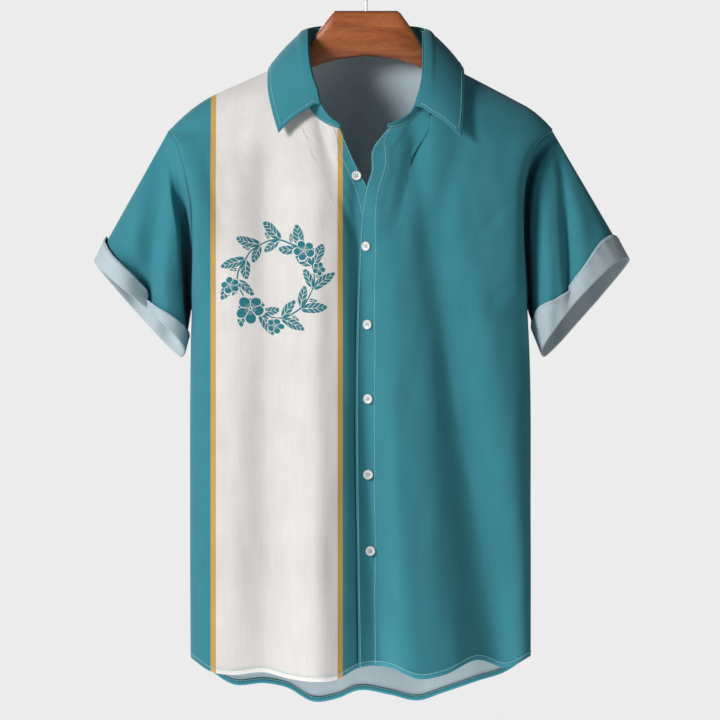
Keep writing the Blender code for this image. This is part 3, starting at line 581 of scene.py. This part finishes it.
def print_colour(tree):
    place = add(tree, "TexCoord").outputs["Object"]
    xyz = add(tree, "SeparateXYZ", sockets={0: place}).outputs
    low, high = PRINT_SPAN
    across = {"Value": xyz[0], "From Min": low * MM, "From Max": high * MM}
    share = add(tree, "MapRange", sockets=across).outputs[0]
    stops = [((x - low) / (high - low), srgb(code)) for x, code in STRIPES]
    ground = ramp(tree, share, stops, "CONSTANT").outputs[0]

    def calc(how, a, b=0.0, c=0.0):
        return add(tree, "Math", {"operation": how}, {0: a, 1: b, 2: c}).outputs[0]

    def length(part):
        squares = [calc("MULTIPLY", part[axis], part[axis]) for axis in (0, 2)]
        return calc("SQRT", calc("ADD", *squares))

    # The hand-drawn look: the whole design is bent by a millimetre or two.
    bend = add(tree, "TexNoise", sockets={"Vector": place, "Scale": 26.0, "Detail": 1.0}).outputs[1]
    bend = add(tree, "VectorMath", {"operation": "SUBTRACT"}, {0: bend, 1: (0.5, 0.5, 0.5)}).outputs[0]
    bend = add(tree, "VectorMath", {"operation": "SCALE"}, {0: bend, "Scale": 0.011}).outputs[0]
    bent = add(tree, "VectorMath", {"operation": "ADD"}, {0: place, 1: bend}).outputs[0]
    ring_x, ring_drop, ring_wide = WREATH
    ring_at = (ring_x * MM, 0, -ring_drop * MM)
    centred = add(tree, "VectorMath", {"operation": "SUBTRACT"}, {0: bent, 1: ring_at})
    part = add(tree, "SeparateXYZ", sockets={0: centred.outputs[0]}).outputs
    far = length(part)
    round_share = calc("ADD", calc("DIVIDE", calc("ARCTAN2", part[2], part[0]), 2 * math.pi), 0.5)
    mask = calc("GREATER_THAN", 0.9 * MM, calc("ABSOLUTE", calc("SUBTRACT", far, ring_wide * MM)))
    for count, turn, long, wide in WREATH_LEAVES:
        # Every leaf is drawn in its own sector, from the sector's start.
        angle = calc("MULTIPLY", calc("FRACT", calc("MULTIPLY", round_share, count)), 2 * math.pi / count)
        out = calc("SUBTRACT", calc("MULTIPLY", far, calc("COSINE", angle)), ring_wide * MM)
        on = calc("MULTIPLY", far, calc("SINE", angle))
        cosine, sine = math.cos(math.radians(turn)), math.sin(math.radians(turn))
        run = calc("ADD", calc("MULTIPLY", on, cosine), calc("MULTIPLY", out, sine))
        off = calc("ABSOLUTE", calc("SUBTRACT", calc("MULTIPLY", out, cosine), calc("MULTIPLY", on, sine)))
        t = calc("DIVIDE", run, long * MM)
        belly = calc("MULTIPLY", calc("MULTIPLY", t, calc("SUBTRACT", 1.0, t)), 4.0)
        half = calc("MULTIPLY", calc("POWER", calc("MAXIMUM", belly, 0.0), 0.85), wide * MM)
        blade = calc("GREATER_THAN", half, off)
        rib = calc("GREATER_THAN", off, calc("MULTIPLY", calc("SUBTRACT", 0.9, t), 0.0007))
        vein = calc("FRACT", calc("DIVIDE", calc("SUBTRACT", run, calc("MULTIPLY", off, 1.3)), 0.0062))
        veins = calc("GREATER_THAN", vein, 0.15)
        mask = calc("MAXIMUM", mask, calc("MULTIPLY", blade, calc("MULTIPLY", rib, veins)))
    for x, drop, size, turn in FLOWERS:
        seat = {"Vector": bent, "Location": (x * MM, 0, -drop * MM), "Rotation": (0, math.radians(turn), 0)}
        at = add(tree, "Mapping", {"vector_type": "TEXTURE"}, seat).outputs[0]
        part = add(tree, "SeparateXYZ", sockets={0: at}).outputs
        far = length(part)
        turned = calc("ARCTAN2", part[2], part[0])
        lobe = calc("POWER", calc("ABSOLUTE", calc("COSINE", calc("MULTIPLY", turned, 2.5))), 0.55)
        edge = calc("MULTIPLY_ADD", lobe, 0.5 * size * MM, 0.5 * size * MM)
        petals = calc("GREATER_THAN", edge, far)
        clear = calc("GREATER_THAN", calc("MULTIPLY", edge, 1.13), far)
        split = calc("GREATER_THAN", lobe, 0.36)
        eye = calc("GREATER_THAN", far, 0.16 * size * MM)
        dot = calc("GREATER_THAN", 0.09 * size * MM, far)
        streak = calc("GREATER_THAN", calc("FRACT", calc("MULTIPLY", turned, 5 * 2.5 / math.pi)), 0.16)
        inner = calc("GREATER_THAN", 0.45 * size * MM, far)
        lines = calc("MAXIMUM", streak, calc("SUBTRACT", 1.0, inner))
        petals = calc("MULTIPLY", calc("MULTIPLY", petals, split), calc("MULTIPLY", eye, lines))
        flower = calc("MAXIMUM", petals, dot)
        mask = calc("MAXIMUM", calc("MULTIPLY", mask, calc("SUBTRACT", 1.0, clear)), flower)
    return add(tree, "MixRGB", sockets={"Fac": mask, "Color1": ground, "Color2": srgb("2a7d88")}).outputs[0]


printed_cotton = cotton("printed_cotton", print_colour)

front_faces = {}
for side, finish, slot in ((-1, printed_cotton, "printed_cotton"), (1, teal_cotton, "teal_cotton")):
    points = front_grid(side)
    # The band's edge is a fold, turned round to the inside and lying flat behind the band.
    out = normals(points, points * np.array([0.5, 0, 1]))
    front_faces[side] = (points, out)
    edge_out = unit(points[:, 0] - points[:, 1])
    fold = [points[:, k] - out[:, k] * BAND_DEEP for k in range(12, 0, -1)]
    fold += [points[:, 0] - out[:, 0] * BAND_DEEP, points[:, 0] - out[:, 0] * BAND_DEEP / 2 + edge_out * 0.5]
    points = np.concatenate([np.array(fold).transpose(1, 0, 2), points], axis=1)
    points = tuck_in(points, 0, side, HEM_DEEP)
    core = points * np.array([0.5, 0, 1])
    lay(f"front_{hand(side)}_cloth", points, core, [finish, pale_reverse], CLOTH, (0.30, 0.82))
    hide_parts(f"front_{hand(side)}")


# ------------------------------------------------------------------ sleeves
# Each sleeve is a short tube set into the armhole, its end turned up once to the outside, so that
# the pale reverse shows on the turn-up. The seam allowance lies inside the armhole.
# The end of each sleeve: x and drop of its outer and inner corners, how far its front and back
# edges bow outwards, how that changes from the outer to the inner corner, and half its depth.
SLEEVE_ENDS = {
    -1: {"outer": (-336, 377), "inner": (-230, 495), "front": -7, "tilt": 11, "back": 5, "deep": 50},
    1: {"outer": (326, 376), "inner": (222, 495), "front": -15, "tilt": 0, "back": 4, "deep": 50},
}
END_ROUND, SLEEVE_PUFF = 0.75, 9.0
# Round each sleeve in degrees, from the outer corner over the front: how wide the turn-up is and
# how far its free edge stands off.
TURN_UPS = {
    "round": (0, 24, 46, 72, 90, 104, 120, 135, 180, 225, 315, 360),
    "right": (32, 26, 20, 14, 12, 12, 14, 17, 24, 27, 28, 32),
    "right_off": (0.8, 4, 6, 7, 6, 4, 3, 2, 1, 1, 1, 0.8),
    "left": (30, 32, 29, 21, 18, 22, 31, 36, 34, 30, 28, 30),
    "left_off": (0.8, 1, 1, 2, 2, 2, 2, 2, 1, 1, 1, 0.8),
}
# The cleft beside the armhole, in front: its middle and width as shares of the sleeve's length,
# and its depth.
CLEFTS = {
    "round": (20, 40, 60, 90, 120, 150, 170, 180),
    "right": (0.06, 0.09, 0.12, 0.15, 0.20, 0.26, 0.31, 0.32),
    "right_wide": (0.03, 0.06, 0.07, 0.09, 0.16, 0.24, 0.25, 0.24),
    "right_deep": (0, 3, 12, 32, 44, 38, 15, 0),
    "left": (0.04, 0.045, 0.05, 0.055, 0.08, 0.12, 0.17, 0.2),
    "left_wide": (0.03, 0.035, 0.04, 0.06, 0.11, 0.16, 0.19, 0.2),
    "left_deep": (2, 12, 26, 36, 36, 26, 10, 0),
}
FRONT_SLEEVE_FOLDS = {
    -1: (
        (-250, -272, 226, 430, 18, 24, 10, 12, 12, 22),
        (-300, -270, 365, 425, 13, 13, 13, 13, 12, 15),
    ),
    1: (
        (243, 252, 270, 400, 6, 6, 14, 14, 7, 10),
        (226, 226, 320, 470, 10, 10, 10, 10, -5, -6),
    ),
}
BACK_SLEEVE_FOLDS = {
    -1: (
        (-250, -262, 300, 470, 13, 13, 13, 13, 5, 8),
        (-286, -290, 320, 430, 12, 12, 12, 12, -3, -5),
    ),
    1: (
        (240, 250, 300, 470, 13, 13, 13, 13, 5, 8),
        (276, 280, 320, 430, 12, 12, 12, 12, -3, -5),
    ),
}
SLEEVE_CREASES = {
    -1: ((-240, 232, -232, 262, 3, 2.0), (-246, 236, -240, 270, 3, 1.6)),
    1: ((224, 240, 216, 262, 3, 2.0), (236, 238, 226, 262, 3, 1.8), (262, 262, 286, 350, 9, 2.2),
        (238, 242, 249, 300, 4, 2.5), (249, 300, 250, 404, 5, 4.5)),
}


def armhole(side, angle):
    """The armhole seam, from the shoulder (0) over the front to the armpit and up the back."""
    drop = (SHOULDER_TIP + ARMPIT) / 2 - (ARMPIT - SHOULDER_TIP) / 2 * np.cos(angle)
    x = side * (half_width(side, drop) + 0.2 + 1.2 * smooth((drop - 360) / 60))
    y = np.where(np.sin(angle) > 0, -hole_depth(side, drop), ARMHOLE_BACK * np.abs(np.sin(angle)))
    return np.stack([x, y, -drop], axis=-1)


def sleeve_end(side, angle):
    end = SLEEVE_ENDS[side]
    outer, inner = np.array(end["outer"], float), np.array(end["inner"], float)
    middle, arm = (outer + inner) / 2, (outer - inner) / 2
    out = unit(np.array([-arm[1], arm[0]]))
    out = out * np.sign(out[1])
    front = end["front"] + end["tilt"] * np.cos(angle)
    swell = np.where(np.sin(angle) > 0, front, end["back"]) * np.abs(np.sin(angle)) ** 0.7
    flat = middle + arm * np.cos(angle)[..., None] + out * swell[..., None]
    flattened = np.sign(np.sin(angle)) * np.abs(np.sin(angle)) ** END_ROUND
    return np.stack([flat[..., 0], -end["deep"] * flattened, -flat[..., 1]], axis=-1)


def sleeve_spots(side, along, angle):
    """Points of the sleeve's outer face: along from the armhole (0) to the end (1)."""
    start, end = armhole(side, angle), sleeve_end(side, angle)
    spots = start + (end - start) * along[..., None]
    sine = np.sin(angle)
    facing = np.where(sine > 0, 1, -1)
    spots[..., 1] -= facing * SLEEVE_PUFF * np.sin(np.pi * np.maximum(along, 0)) * np.abs(sine)
    x, drop = spots[..., 0], -spots[..., 2]
    front = folds(FRONT_SLEEVE_FOLDS[side], x, drop) + creases(SLEEVE_CREASES[side], x, drop)
    back_relief = folds(BACK_SLEEVE_FOLDS[side], x, drop)
    relief = np.where(sine > 0, front, back_relief) + uneven(x, drop, 31 + side)
    relief = relief * smooth(np.abs(sine) / 0.5) * smooth(along / 0.12)
    degrees = np.degrees(angle) % 360
    middle, wide, deep = (through(CLEFTS, hand(side) + key, degrees) for key in ("", "_wide", "_deep"))
    cleft = np.exp(-(((along - middle) / wide) ** 4)) * smooth(along / 0.04)
    relief = relief + np.maximum(deep, 0) * cleft * (sine > 0)
    spots[..., 1] += facing * relief
    return spots


ROUND = 144
TURN = 0.9
turn_up_runs = {}
for side in (-1, 1):
    angles = np.linspace(0, 2 * np.pi, ROUND, endpoint=False)
    shares = np.concatenate([np.linspace(0, 0.4, 33), np.linspace(0.4, 1, 34)[1:]])
    along, angle = np.meshgrid(shares, angles, indexing="ij")
    face = sleeve_spots(side, along, angle)
    out = normals(face, face.mean(axis=1, keepdims=True), ring=True)
    start = face[0]
    centre = start.mean(axis=0)
    tucked = [centre + (start - centre) * shrink - np.array([side * inward, 0, 0])
              for shrink, inward in ((0.95, 7), (0.965, 3))]
    down = unit(face[-1] - face[-2])
    rows = tucked + list(face)
    for a in (-60, -30, 0, 30, 60):
        sine, cosine = math.sin(math.radians(a)), math.cos(math.radians(a))
        rows.append(face[-1] + out[-1] * (TURN + TURN * sine) + down * TURN * cosine)
    length = np.linalg.norm(sleeve_end(side, angles) - armhole(side, angles), axis=1)
    wide = through(TURN_UPS, hand(side), np.degrees(angles))
    off = through(TURN_UPS, hand(side) + "_off", np.degrees(angles))
    ripple = 0.5 * np.sin(9 * angles) + 0.4 * np.sin(23 * angles + 1)
    lifts = []
    for part in np.linspace(0, 1, 12):
        share = 1 - part * wide / length
        pair = sleeve_spots(side, np.stack([share - 0.01, share]), np.stack([angles, angles]))
        lift = normals(pair, pair.mean(axis=1, keepdims=True), ring=True)[1]
        rows.append(pair[1] + lift * (2 * TURN + (off + ripple) * part)[:, None])
        lifts.append(lift)
    free = rows[-1]
    turn_up_runs[side] = [(rows[-2] + lifts[-2] * (CLOTH + 0.25), lifts[-2])]
    # The raw edge is turned under once more.
    rows.append(free - lifts[-1] * 0.8 + down * 0.4)
    rows.append(rows[-3] - lifts[-1] * 0.8)
    grid = np.array(rows)
    core = np.broadcast_to(grid.mean(axis=1, keepdims=True), grid.shape).copy()
    # Past the fold the face looks in, so those rows must not sway the choice of side.
    core[len(shares) + 2:] = grid[len(shares) + 2:]
    lay(f"sleeve_{hand(side)}_cloth", grid, core, [teal_cotton, pale_reverse], CLOTH,
                        (0.46, 0.24), ring=True)
    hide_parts(f"sleeve_{hand(side)}")


# ------------------------------------------------------------------ collar stand
# The stand is a narrow band of two layers with a stiffener between, sewn round the neck edge.
# It leans in at the sides and falls open at its front ends.
STAND = {
    "along": (0.00, 0.38, 0.60, 0.72, 0.80, 0.86, 0.92, 1.00),
    "right": (32.0, 34.0, 31.0, 29.0, 26.5, 21.5, 13.0, 5.5),
    "left": (32.0, 34.0, 31.0, 27.0, 20.5, 11.5, 9.0, 6.0),
    "in_right": (0.00, 0.22, 0.27, 0.33, 0.36, 0.18, 0.10, 0.10),
    "in_left": (0.00, 0.22, 0.25, 0.18, 0.13, 0.06, 0.06, 0.10),
    "lean_out": (-0.06, 0.00, 0.42, 0.49, 0.52, 0.54, 0.55, 0.55),
    "up": (1.00, 0.97, 0.87, 0.84, 0.83, 0.83, 0.83, 0.83),
}
STAND_THICK = 1.6


def even_points(points, shares):
    steps = np.linalg.norm(np.diff(points, axis=0), axis=1)
    run = np.concatenate([[0], np.cumsum(steps)]) / steps.sum()
    return np.stack([np.interp(shares, run, points[:, k]) for k in range(3)], axis=1)


def half_neckline(side):
    """The neck seam of one side, from the centre back to the front end."""
    turn = np.linspace(0, QUARTER, 160)
    x = NECK_SIDE * np.sin(turn)
    drop = NECK_SIDE_DROP - NECK_BACK_RISE * np.sqrt(1 - np.clip(x / NECK_SIDE, 0, 1) ** 2)
    rear = np.stack([side * x, NECK_BACK_DEPTH * np.cos(turn), -drop], axis=1)
    last = math.acos((FRONT_NECK_END[side] / NECK_SIDE) ** 1.5)
    turn = last * np.linspace(0, 1, 300)[1:] ** 2
    x = NECK_SIDE * np.cos(turn) ** (2 / 3)
    drop = neck_front_drop(x)
    front = np.stack([side * x, -body_depth(side, side * x, drop, True), -drop], axis=1)
    return np.concatenate([rear, front])


def stand_spots(side, shares, up):
    base = even_points(half_neckline(side), shares)
    high, lean_in = through(STAND, hand(side), shares), through(STAND, "in_" + hand(side), shares)
    lean_out, rise = through(STAND, "lean_out", shares), through(STAND, "up", shares)
    lean = np.stack([-side * lean_in, -lean_out, rise], axis=1)
    return base + unit(lean) * (high * up)[:, None]


def round_neck(make, shares):
    return np.concatenate([make(-1, shares)[::-1], make(1, shares)[1:]])


shares = np.linspace(0, 1, 90)
stand_core = np.array([0, -15, 0])
face = np.array([round_neck(lambda side, s, up=up: stand_spots(side, s, up), shares)
                 for up in np.linspace(-0.06, 1, 12)])
out = normals(face, face * np.array([0, 0, 1]) + stand_core)
face = face - out * 0.4 + np.array([0, 0, 0.5])
stand_face = (face, out)
stand = lay("collar_stand_cloth", face, face * np.array([0, 0, 1]) + stand_core, [teal_cotton], STAND_THICK,
            (0.43, 0.034))
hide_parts("collar_stand")


# ------------------------------------------------------------------ collar leaf
# The leaf is two layers with a stiffener, turned out, pressed, and stitched all round near its
# edge. It folds over the top of the stand and lies open on the fronts.
LEAF_EDGE = {
    "along": (0.00, 0.16, 0.30, 0.43, 0.52, 0.62, 0.74, 0.865, 1.00),
    "right": (0.0, 44.0, 86.0, 108.5, 116.0, 118.0, 117.5, 112.0, 105.0),
    "left": (0.0, 44.0, 86.0, 108.5, 116.0, 118.0, 118.0, 117.0, 114.5),
    "y": (60, 57, 44, 22, -2, -28, -49, -64, -77),
    "drop_right": (129, 131, 135, 137, 138, 148, 170, 196, 221),
    "drop_left": (129, 131, 135, 137, 138, 148, 171, 200, 227),
}
LEAF_END = {-1: 0.87, 1: 0.84}
LEAF_THICK = 1.3


def leaf_spots(side, s, part):
    top = stand_spots(side, s * LEAF_END[side], 1.0)
    edge = np.stack([side * through(LEAF_EDGE, hand(side), s), through(LEAF_EDGE, "y", s),
                     -through(LEAF_EDGE, "drop_" + hand(side), s)], axis=1)
    away = unit((edge - top) * np.array([1, 1, 0]))
    arch = 4 * part * (1 - part)
    sideways = 3.2 * smooth(part / 0.12) + 2.0 * arch
    raised = 1.2 + 1.6 * np.sin(np.pi * np.minimum(part / 0.2, 1)) + 3.0 * arch
    return top + (edge - top) * part + away * sideways + np.array([0, 0, 1.0]) * raised


shares = np.linspace(0, 1, 80)
parts = np.concatenate([np.linspace(0, 0.2, 12), np.linspace(0.2, 1, 26)[1:]])
face = np.array([round_neck(lambda side, s, part=part: leaf_spots(side, s, part), shares) for part in parts])
out = normals(face, face + np.array([0, 0, -1.0]))
leaf_points = face + out * STAND_THICK
leaf_face = (leaf_points, out)
leaf = lay("collar_leaf_cloth", leaf_points, leaf_points - np.array([0, 0, 1.0]), [teal_cotton], LEAF_THICK,
           (0.44, 0.075))
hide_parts("collar_leaf")


# ------------------------------------------------------------------ stitching
# All seams that show are sewn with one needle in pale teal polyester thread, about 3 stitches
# to the centimetre. The thread is drawn 0.7 mm thick, twice the real one, so that it shows.
thread, tree, shader = new_material("polyester_thread")
place = add(tree, "TexCoord").outputs["Object"]
twist = add(tree, "TexNoise", sockets={"Vector": place, "Scale": 1500.0, "Detail": 1.0}).outputs[0]
tint = ramp(tree, twist, [(0.3, srgb("86cad2")), (0.7, srgb("b4e3e8"))]).outputs[0]
tree.links.new(tint, shader.inputs["Base Color"])
shader.inputs["Roughness"].default_value = 0.55
shader.inputs["Sheen Weight"].default_value = 0.2


def sew(name, runs, with_slot, long=3.0, pitch=3.4, wide=1.15, high=0.6):
    """Machine stitches along runs of (points, outward normals), in millimetres."""
    bm = bmesh.new()
    for points, outs in runs:
        steps = np.linalg.norm(np.diff(points, axis=0), axis=1)
        run = np.concatenate([[0], np.cumsum(steps)])
        for at in np.arange(pitch / 2, run[-1] - pitch / 2, pitch):
            here, there = (np.array([np.interp(s, run, points[:, k]) for k in range(3)])
                           for s in (at - long / 2, at + long / 2))
            lift = np.array([np.interp(at, run, outs[:, k]) for k in range(3)])
            x = Vector((there - here) / 2)
            z = Vector(lift)
            z = (z - z.dot(x.normalized()) * x.normalized()).normalized()
            y = z.cross(x).normalized()
            turn = Matrix((x * MM, y * wide / 2 * MM, z * high / 2 * MM)).transposed().to_4x4()
            turn.translation = Vector((here + there) / 2) * MM
            bmesh.ops.create_icosphere(bm, subdivisions=1, radius=1.0, matrix=turn)
    for face in bm.faces:
        face.smooth = True
    mesh = bpy.data.meshes.new(name)
    bm.to_mesh(mesh)
    bm.free()
    made = bpy.data.objects.new(name, mesh)
    bpy.context.scene.collection.objects.link(made)
    made.data.materials.append(thread)
    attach(made, "root")
    return made


# How far the band's stitching lies from its edge, which is turned back at the neck.
BAND_STITCH = {
    "drop": (221, 234, 244, 267, 296, 352, 438, 900),
    "left": (4, 11, 17, 17, 17, 22, 24.5, 25.0),
    "right": (9, 12, 14, 15, 18, 21, 22, 22),
}
LEAF_ROOM = 6.4


def trim(run, start=0.0, end=0.0):
    """The run without its first and last millimetres."""
    points, outs = run
    along = np.concatenate([[0], np.cumsum(np.linalg.norm(np.diff(points, axis=0), axis=1))])
    kept = (along >= start) & (along <= along[-1] - end)
    return points[kept], outs[kept]


for side, slot in ((-1, "printed_cotton"), (1, "teal_cotton")):
    grid, out = front_faces[side]
    room = through(BAND_STITCH, hand(side), -grid[:, 0, 2])
    runs = [beside(grid, out, HEM_ROOM), beside(turned(grid), turned(out), room)]
    runs.append(beside(turned(grid), turned(out), 1.6))
    sew(f"front_{hand(side)}_stitches", runs, slot)
    sew(f"sleeve_{hand(side)}_stitches", turn_up_runs[side], "teal_cotton")
grid, out = back_face
inner = beside(grid, out, HEM_ROOM)
sew("back_stitches", [inner, (inner[0] - inner[1] * (2.4 + CLOTH), -inner[1])], "teal_cotton")
grid, out = leaf_face
ends = [beside(turned(g), turned(o), 4.8) for g, o in ((grid, out), (grid[:, ::-1], out[:, ::-1]))]
long_run = trim(beside(grid, out, LEAF_ROOM), 4.6, 4.6)
sew("collar_leaf_stitches", [long_run] + [trim(run, 6.0, LEAF_ROOM) for run in ends], "teal_cotton")
grid, out = stand_face
sew("collar_stand_stitches", [beside(grid[::-1], out[::-1], 2.4)], "teal_cotton")


# ------------------------------------------------------------------ buttons
# Six four-hole shirt buttons of white polyester resin, 12 mm across, turned with a raised rim and
# a dished middle, each sewn on with crossed thread.
BUTTONS = ((-11.8, 272), (0.6, 360), (2.6, 457), (3.4, 549), (2.2, 643), (4.8, 738))
BUTTON_REACH = 6.0
# Radius and height along the turned side, from the foot over the rim to the dish.
BUTTON_SIDE = (
    (5.6, 0.25), (6.0, 1.0), (5.95, 1.7), (5.6, 2.35), (5.1, 2.55), (4.6, 2.4), (4.15, 1.95), (3.6, 1.72),
)
# The four holes: how far out each way, radius, and the heights of their rims and bottoms.
HOLE_OUT, HOLE_REACH, HOLE_TOP, HOLE_FOOT = 1.3, 0.8, 1.62, 0.25
THREAD_OUT, THREAD_HIGH = 1.43, 1.9
# Polyester resin: slightly pearly, with a soft gloss and a little light inside.
white_resin, tree, shader = new_material("white_polyester_resin")
place = add(tree, "TexCoord").outputs["Object"]
cloud = add(tree, "TexNoise", sockets={"Vector": place, "Scale": 260.0, "Detail": 3.0}).outputs[0]
tint = ramp(tree, cloud, [(0.3, srgb("e9e7e1")), (0.7, srgb("f6f4ef"))]).outputs[0]
tree.links.new(tint, shader.inputs["Base Color"])
shader.inputs["Roughness"].default_value = 0.28
shader.inputs["Subsurface Weight"].default_value = 0.1
shader.inputs["Subsurface Radius"].default_value = (0.002, 0.002, 0.002)
shader.inputs["Coat Weight"].default_value = 0.2


def button_frame(side, x, drop):
    """The button's seat on its front's face, the way it faces, and two directions across it."""
    turns = np.linspace(0, 2 * math.pi, 13)[:-1]
    around = np.array([front_spots(side, x + BUTTON_REACH * math.cos(a), drop + BUTTON_REACH * math.sin(a))
                       for a in turns])
    out = unit(np.cross(around[0] - around[6], around[3] - around[9]))
    out = out * -np.sign(out[1])
    middle = front_spots(side, x, drop)
    rise = max(np.max((around - middle) @ out), 0)
    across = unit(np.cross(out, np.array([0, 0, 1.0])))
    return (middle + out * (rise + 0.1)) * MM, out, across, np.cross(across, out)


for number, (x, drop) in enumerate(BUTTONS, 1):
    seat, out, across, up = button_frame(-1 if number == 1 else 1, x, drop)
    turn = Matrix((Vector(across), Vector(up), Vector(out))).transposed().to_4x4()
    turn.translation = Vector(seat)
    bm = bmesh.new()
    ring_points = [bm.verts.new((r * MM, 0, h * MM)) for r, h in BUTTON_SIDE]
    ring_edges = [bm.edges.new(pair) for pair in zip(ring_points, ring_points[1:])]
    bmesh.ops.spin(bm, geom=ring_points + ring_edges, cent=(0, 0, 0), axis=(0, 0, 1), angle=2 * math.pi,
                   steps=40, use_merge=True)
    bmesh.ops.remove_doubles(bm, verts=bm.verts, dist=1e-7)
    foot = [e for e in bm.edges if e.is_boundary and e.verts[0].co.z < 1 * MM]
    dish = [e for e in bm.edges if e.is_boundary and e.verts[0].co.z > 1 * MM]
    holes = []
    for hx, hy in ((1, 1), (-1, 1), (-1, -1), (1, -1)):
        hole_at = Matrix.Translation((hx * HOLE_OUT * MM, hy * HOLE_OUT * MM, HOLE_TOP * MM))
        upper = bmesh.ops.create_circle(bm, segments=12, radius=HOLE_REACH * MM, matrix=hole_at)
        rim = list({e for v in upper["verts"] for e in v.link_edges})
        holes.append(rim)
        wall = bmesh.ops.extrude_edge_only(bm, edges=rim)
        lower = [g for g in wall["geom"] if isinstance(g, bmesh.types.BMVert)]
        for v in lower:
            v.co.z = HOLE_FOOT * MM
        deep = [g for g in wall["geom"] if isinstance(g, bmesh.types.BMEdge) and g.is_boundary]
        foot += [e for e in deep if e.verts[0].co.z < 1 * MM]
    bmesh.ops.triangle_fill(bm, edges=dish + [e for rim in holes for e in rim], use_beauty=True)
    bmesh.ops.triangle_fill(bm, edges=foot, use_beauty=True)
    bmesh.ops.recalc_face_normals(bm, faces=bm.faces)
    bmesh.ops.transform(bm, matrix=turn, verts=bm.verts)
    for face in bm.faces:
        face.smooth = True
    mesh = bpy.data.meshes.new(f"button_{number}_resin")
    bm.to_mesh(mesh)
    bm.free()
    mesh.set_sharp_from_angle(angle=math.radians(35))
    made = bpy.data.objects.new(f"button_{number}_resin", mesh)
    bpy.context.scene.collection.objects.link(made)
    made.data.materials.append(white_resin)
    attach(made, "root")
    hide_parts(f"button_{number}")
    # Two crossed lengths of thread over the four holes.
    runs = []
    for a, b in (((1, 1), (-1, -1)), ((-1, 1), (1, -1))):
        pair = np.array([seat / MM + (across * p[0] + up * p[1]) * THREAD_OUT + out * THREAD_HIGH
                         for p in (a, b)])
        runs.append((pair, np.array([out, out])))
    sew(f"button_{number}_thread", runs, "white_resin", long=3.6, pitch=3.7, wide=0.55, high=0.5)


# ------------------------------------------------------------------ floor, light and camera
# A plain pale room: a floor well below the hem, a soft key light from the left, a weak fill from
# the right, one behind, and a small one under the hem that shows the pale inside of the back.
# The camera looks straight at the front from far away, as the photograph does.
floor_finish, tree, shader = new_material("pale_paint")
shader.inputs["Base Color"].default_value = srgb("e9e9e9")
shader.inputs["Roughness"].default_value = 0.9
bm = bmesh.new()
bmesh.ops.create_grid(bm, x_segments=1, y_segments=1, size=6.0, matrix=Matrix.Translation((0, 0, -1.45)))
floor_mesh = bpy.data.meshes.new("floor")
bm.to_mesh(floor_mesh)
bm.free()
floor = bpy.data.objects.new("floor", floor_mesh)
bpy.context.scene.collection.objects.link(floor)
floor.data.materials.append(floor_finish)


def soft_light(name, spot, towards, size, watts):
    lamp = bpy.data.lights.new(name, "AREA")
    lamp.shape = "RECTANGLE"
    lamp.size, lamp.size_y = size
    lamp.energy = watts
    made = bpy.data.objects.new(name, lamp)
    bpy.context.scene.collection.objects.link(made)
    made.location = spot
    made.rotation_euler = (Vector(towards) - Vector(spot)).to_track_quat("-Z", "Y").to_euler()
    return made


soft_light("key", (-3.0, -2.8, 1.0), (0, 0, -0.5), (1.2, 1.2), 152)
soft_light("fill", (3.0, -2.6, -0.4), (0, 0, -0.6), (1.6, 1.6), 16)
soft_light("under", (-0.01, -0.11, -1.22), (-0.01, 0.05, -0.92), (0.42, 0.05), 1.5)
soft_light("back", (-1.6, 3.4, 0.8), (0, 0, -0.5), (2.0, 2.0), 60)

world = bpy.data.worlds.new("pale_room")
bpy.context.scene.world = world
world.use_nodes = True
background = world.node_tree.nodes["Background"]
ray = add(world.node_tree, "LightPath").outputs["Is Camera Ray"]
strength = add(world.node_tree, "MapRange", sockets={"Value": ray, "To Min": 0.08, "To Max": 1.0}).outputs[0]
background.inputs["Color"].default_value = srgb("ececec")
world.node_tree.links.new(strength, background.inputs["Strength"])

scene = bpy.context.scene
scene.view_settings.view_transform = "Standard"
# The camera's distance, and the width of what it sees at the front's depth.
camera_far, front_deep, seen_wide = 14.0, 0.03, 0.895
camera = bpy.data.objects.new("camera", bpy.data.cameras.new("camera"))
scene.collection.objects.link(camera)
camera.location = (-0.0075, -camera_far, -0.501)
camera.rotation_euler = (math.pi / 2, 0, 0)
camera.data.sensor_width = 36
camera.data.lens = camera.data.sensor_width * (camera_far - front_deep) / seen_wide
camera.data.clip_end = 60
scene.camera = camera
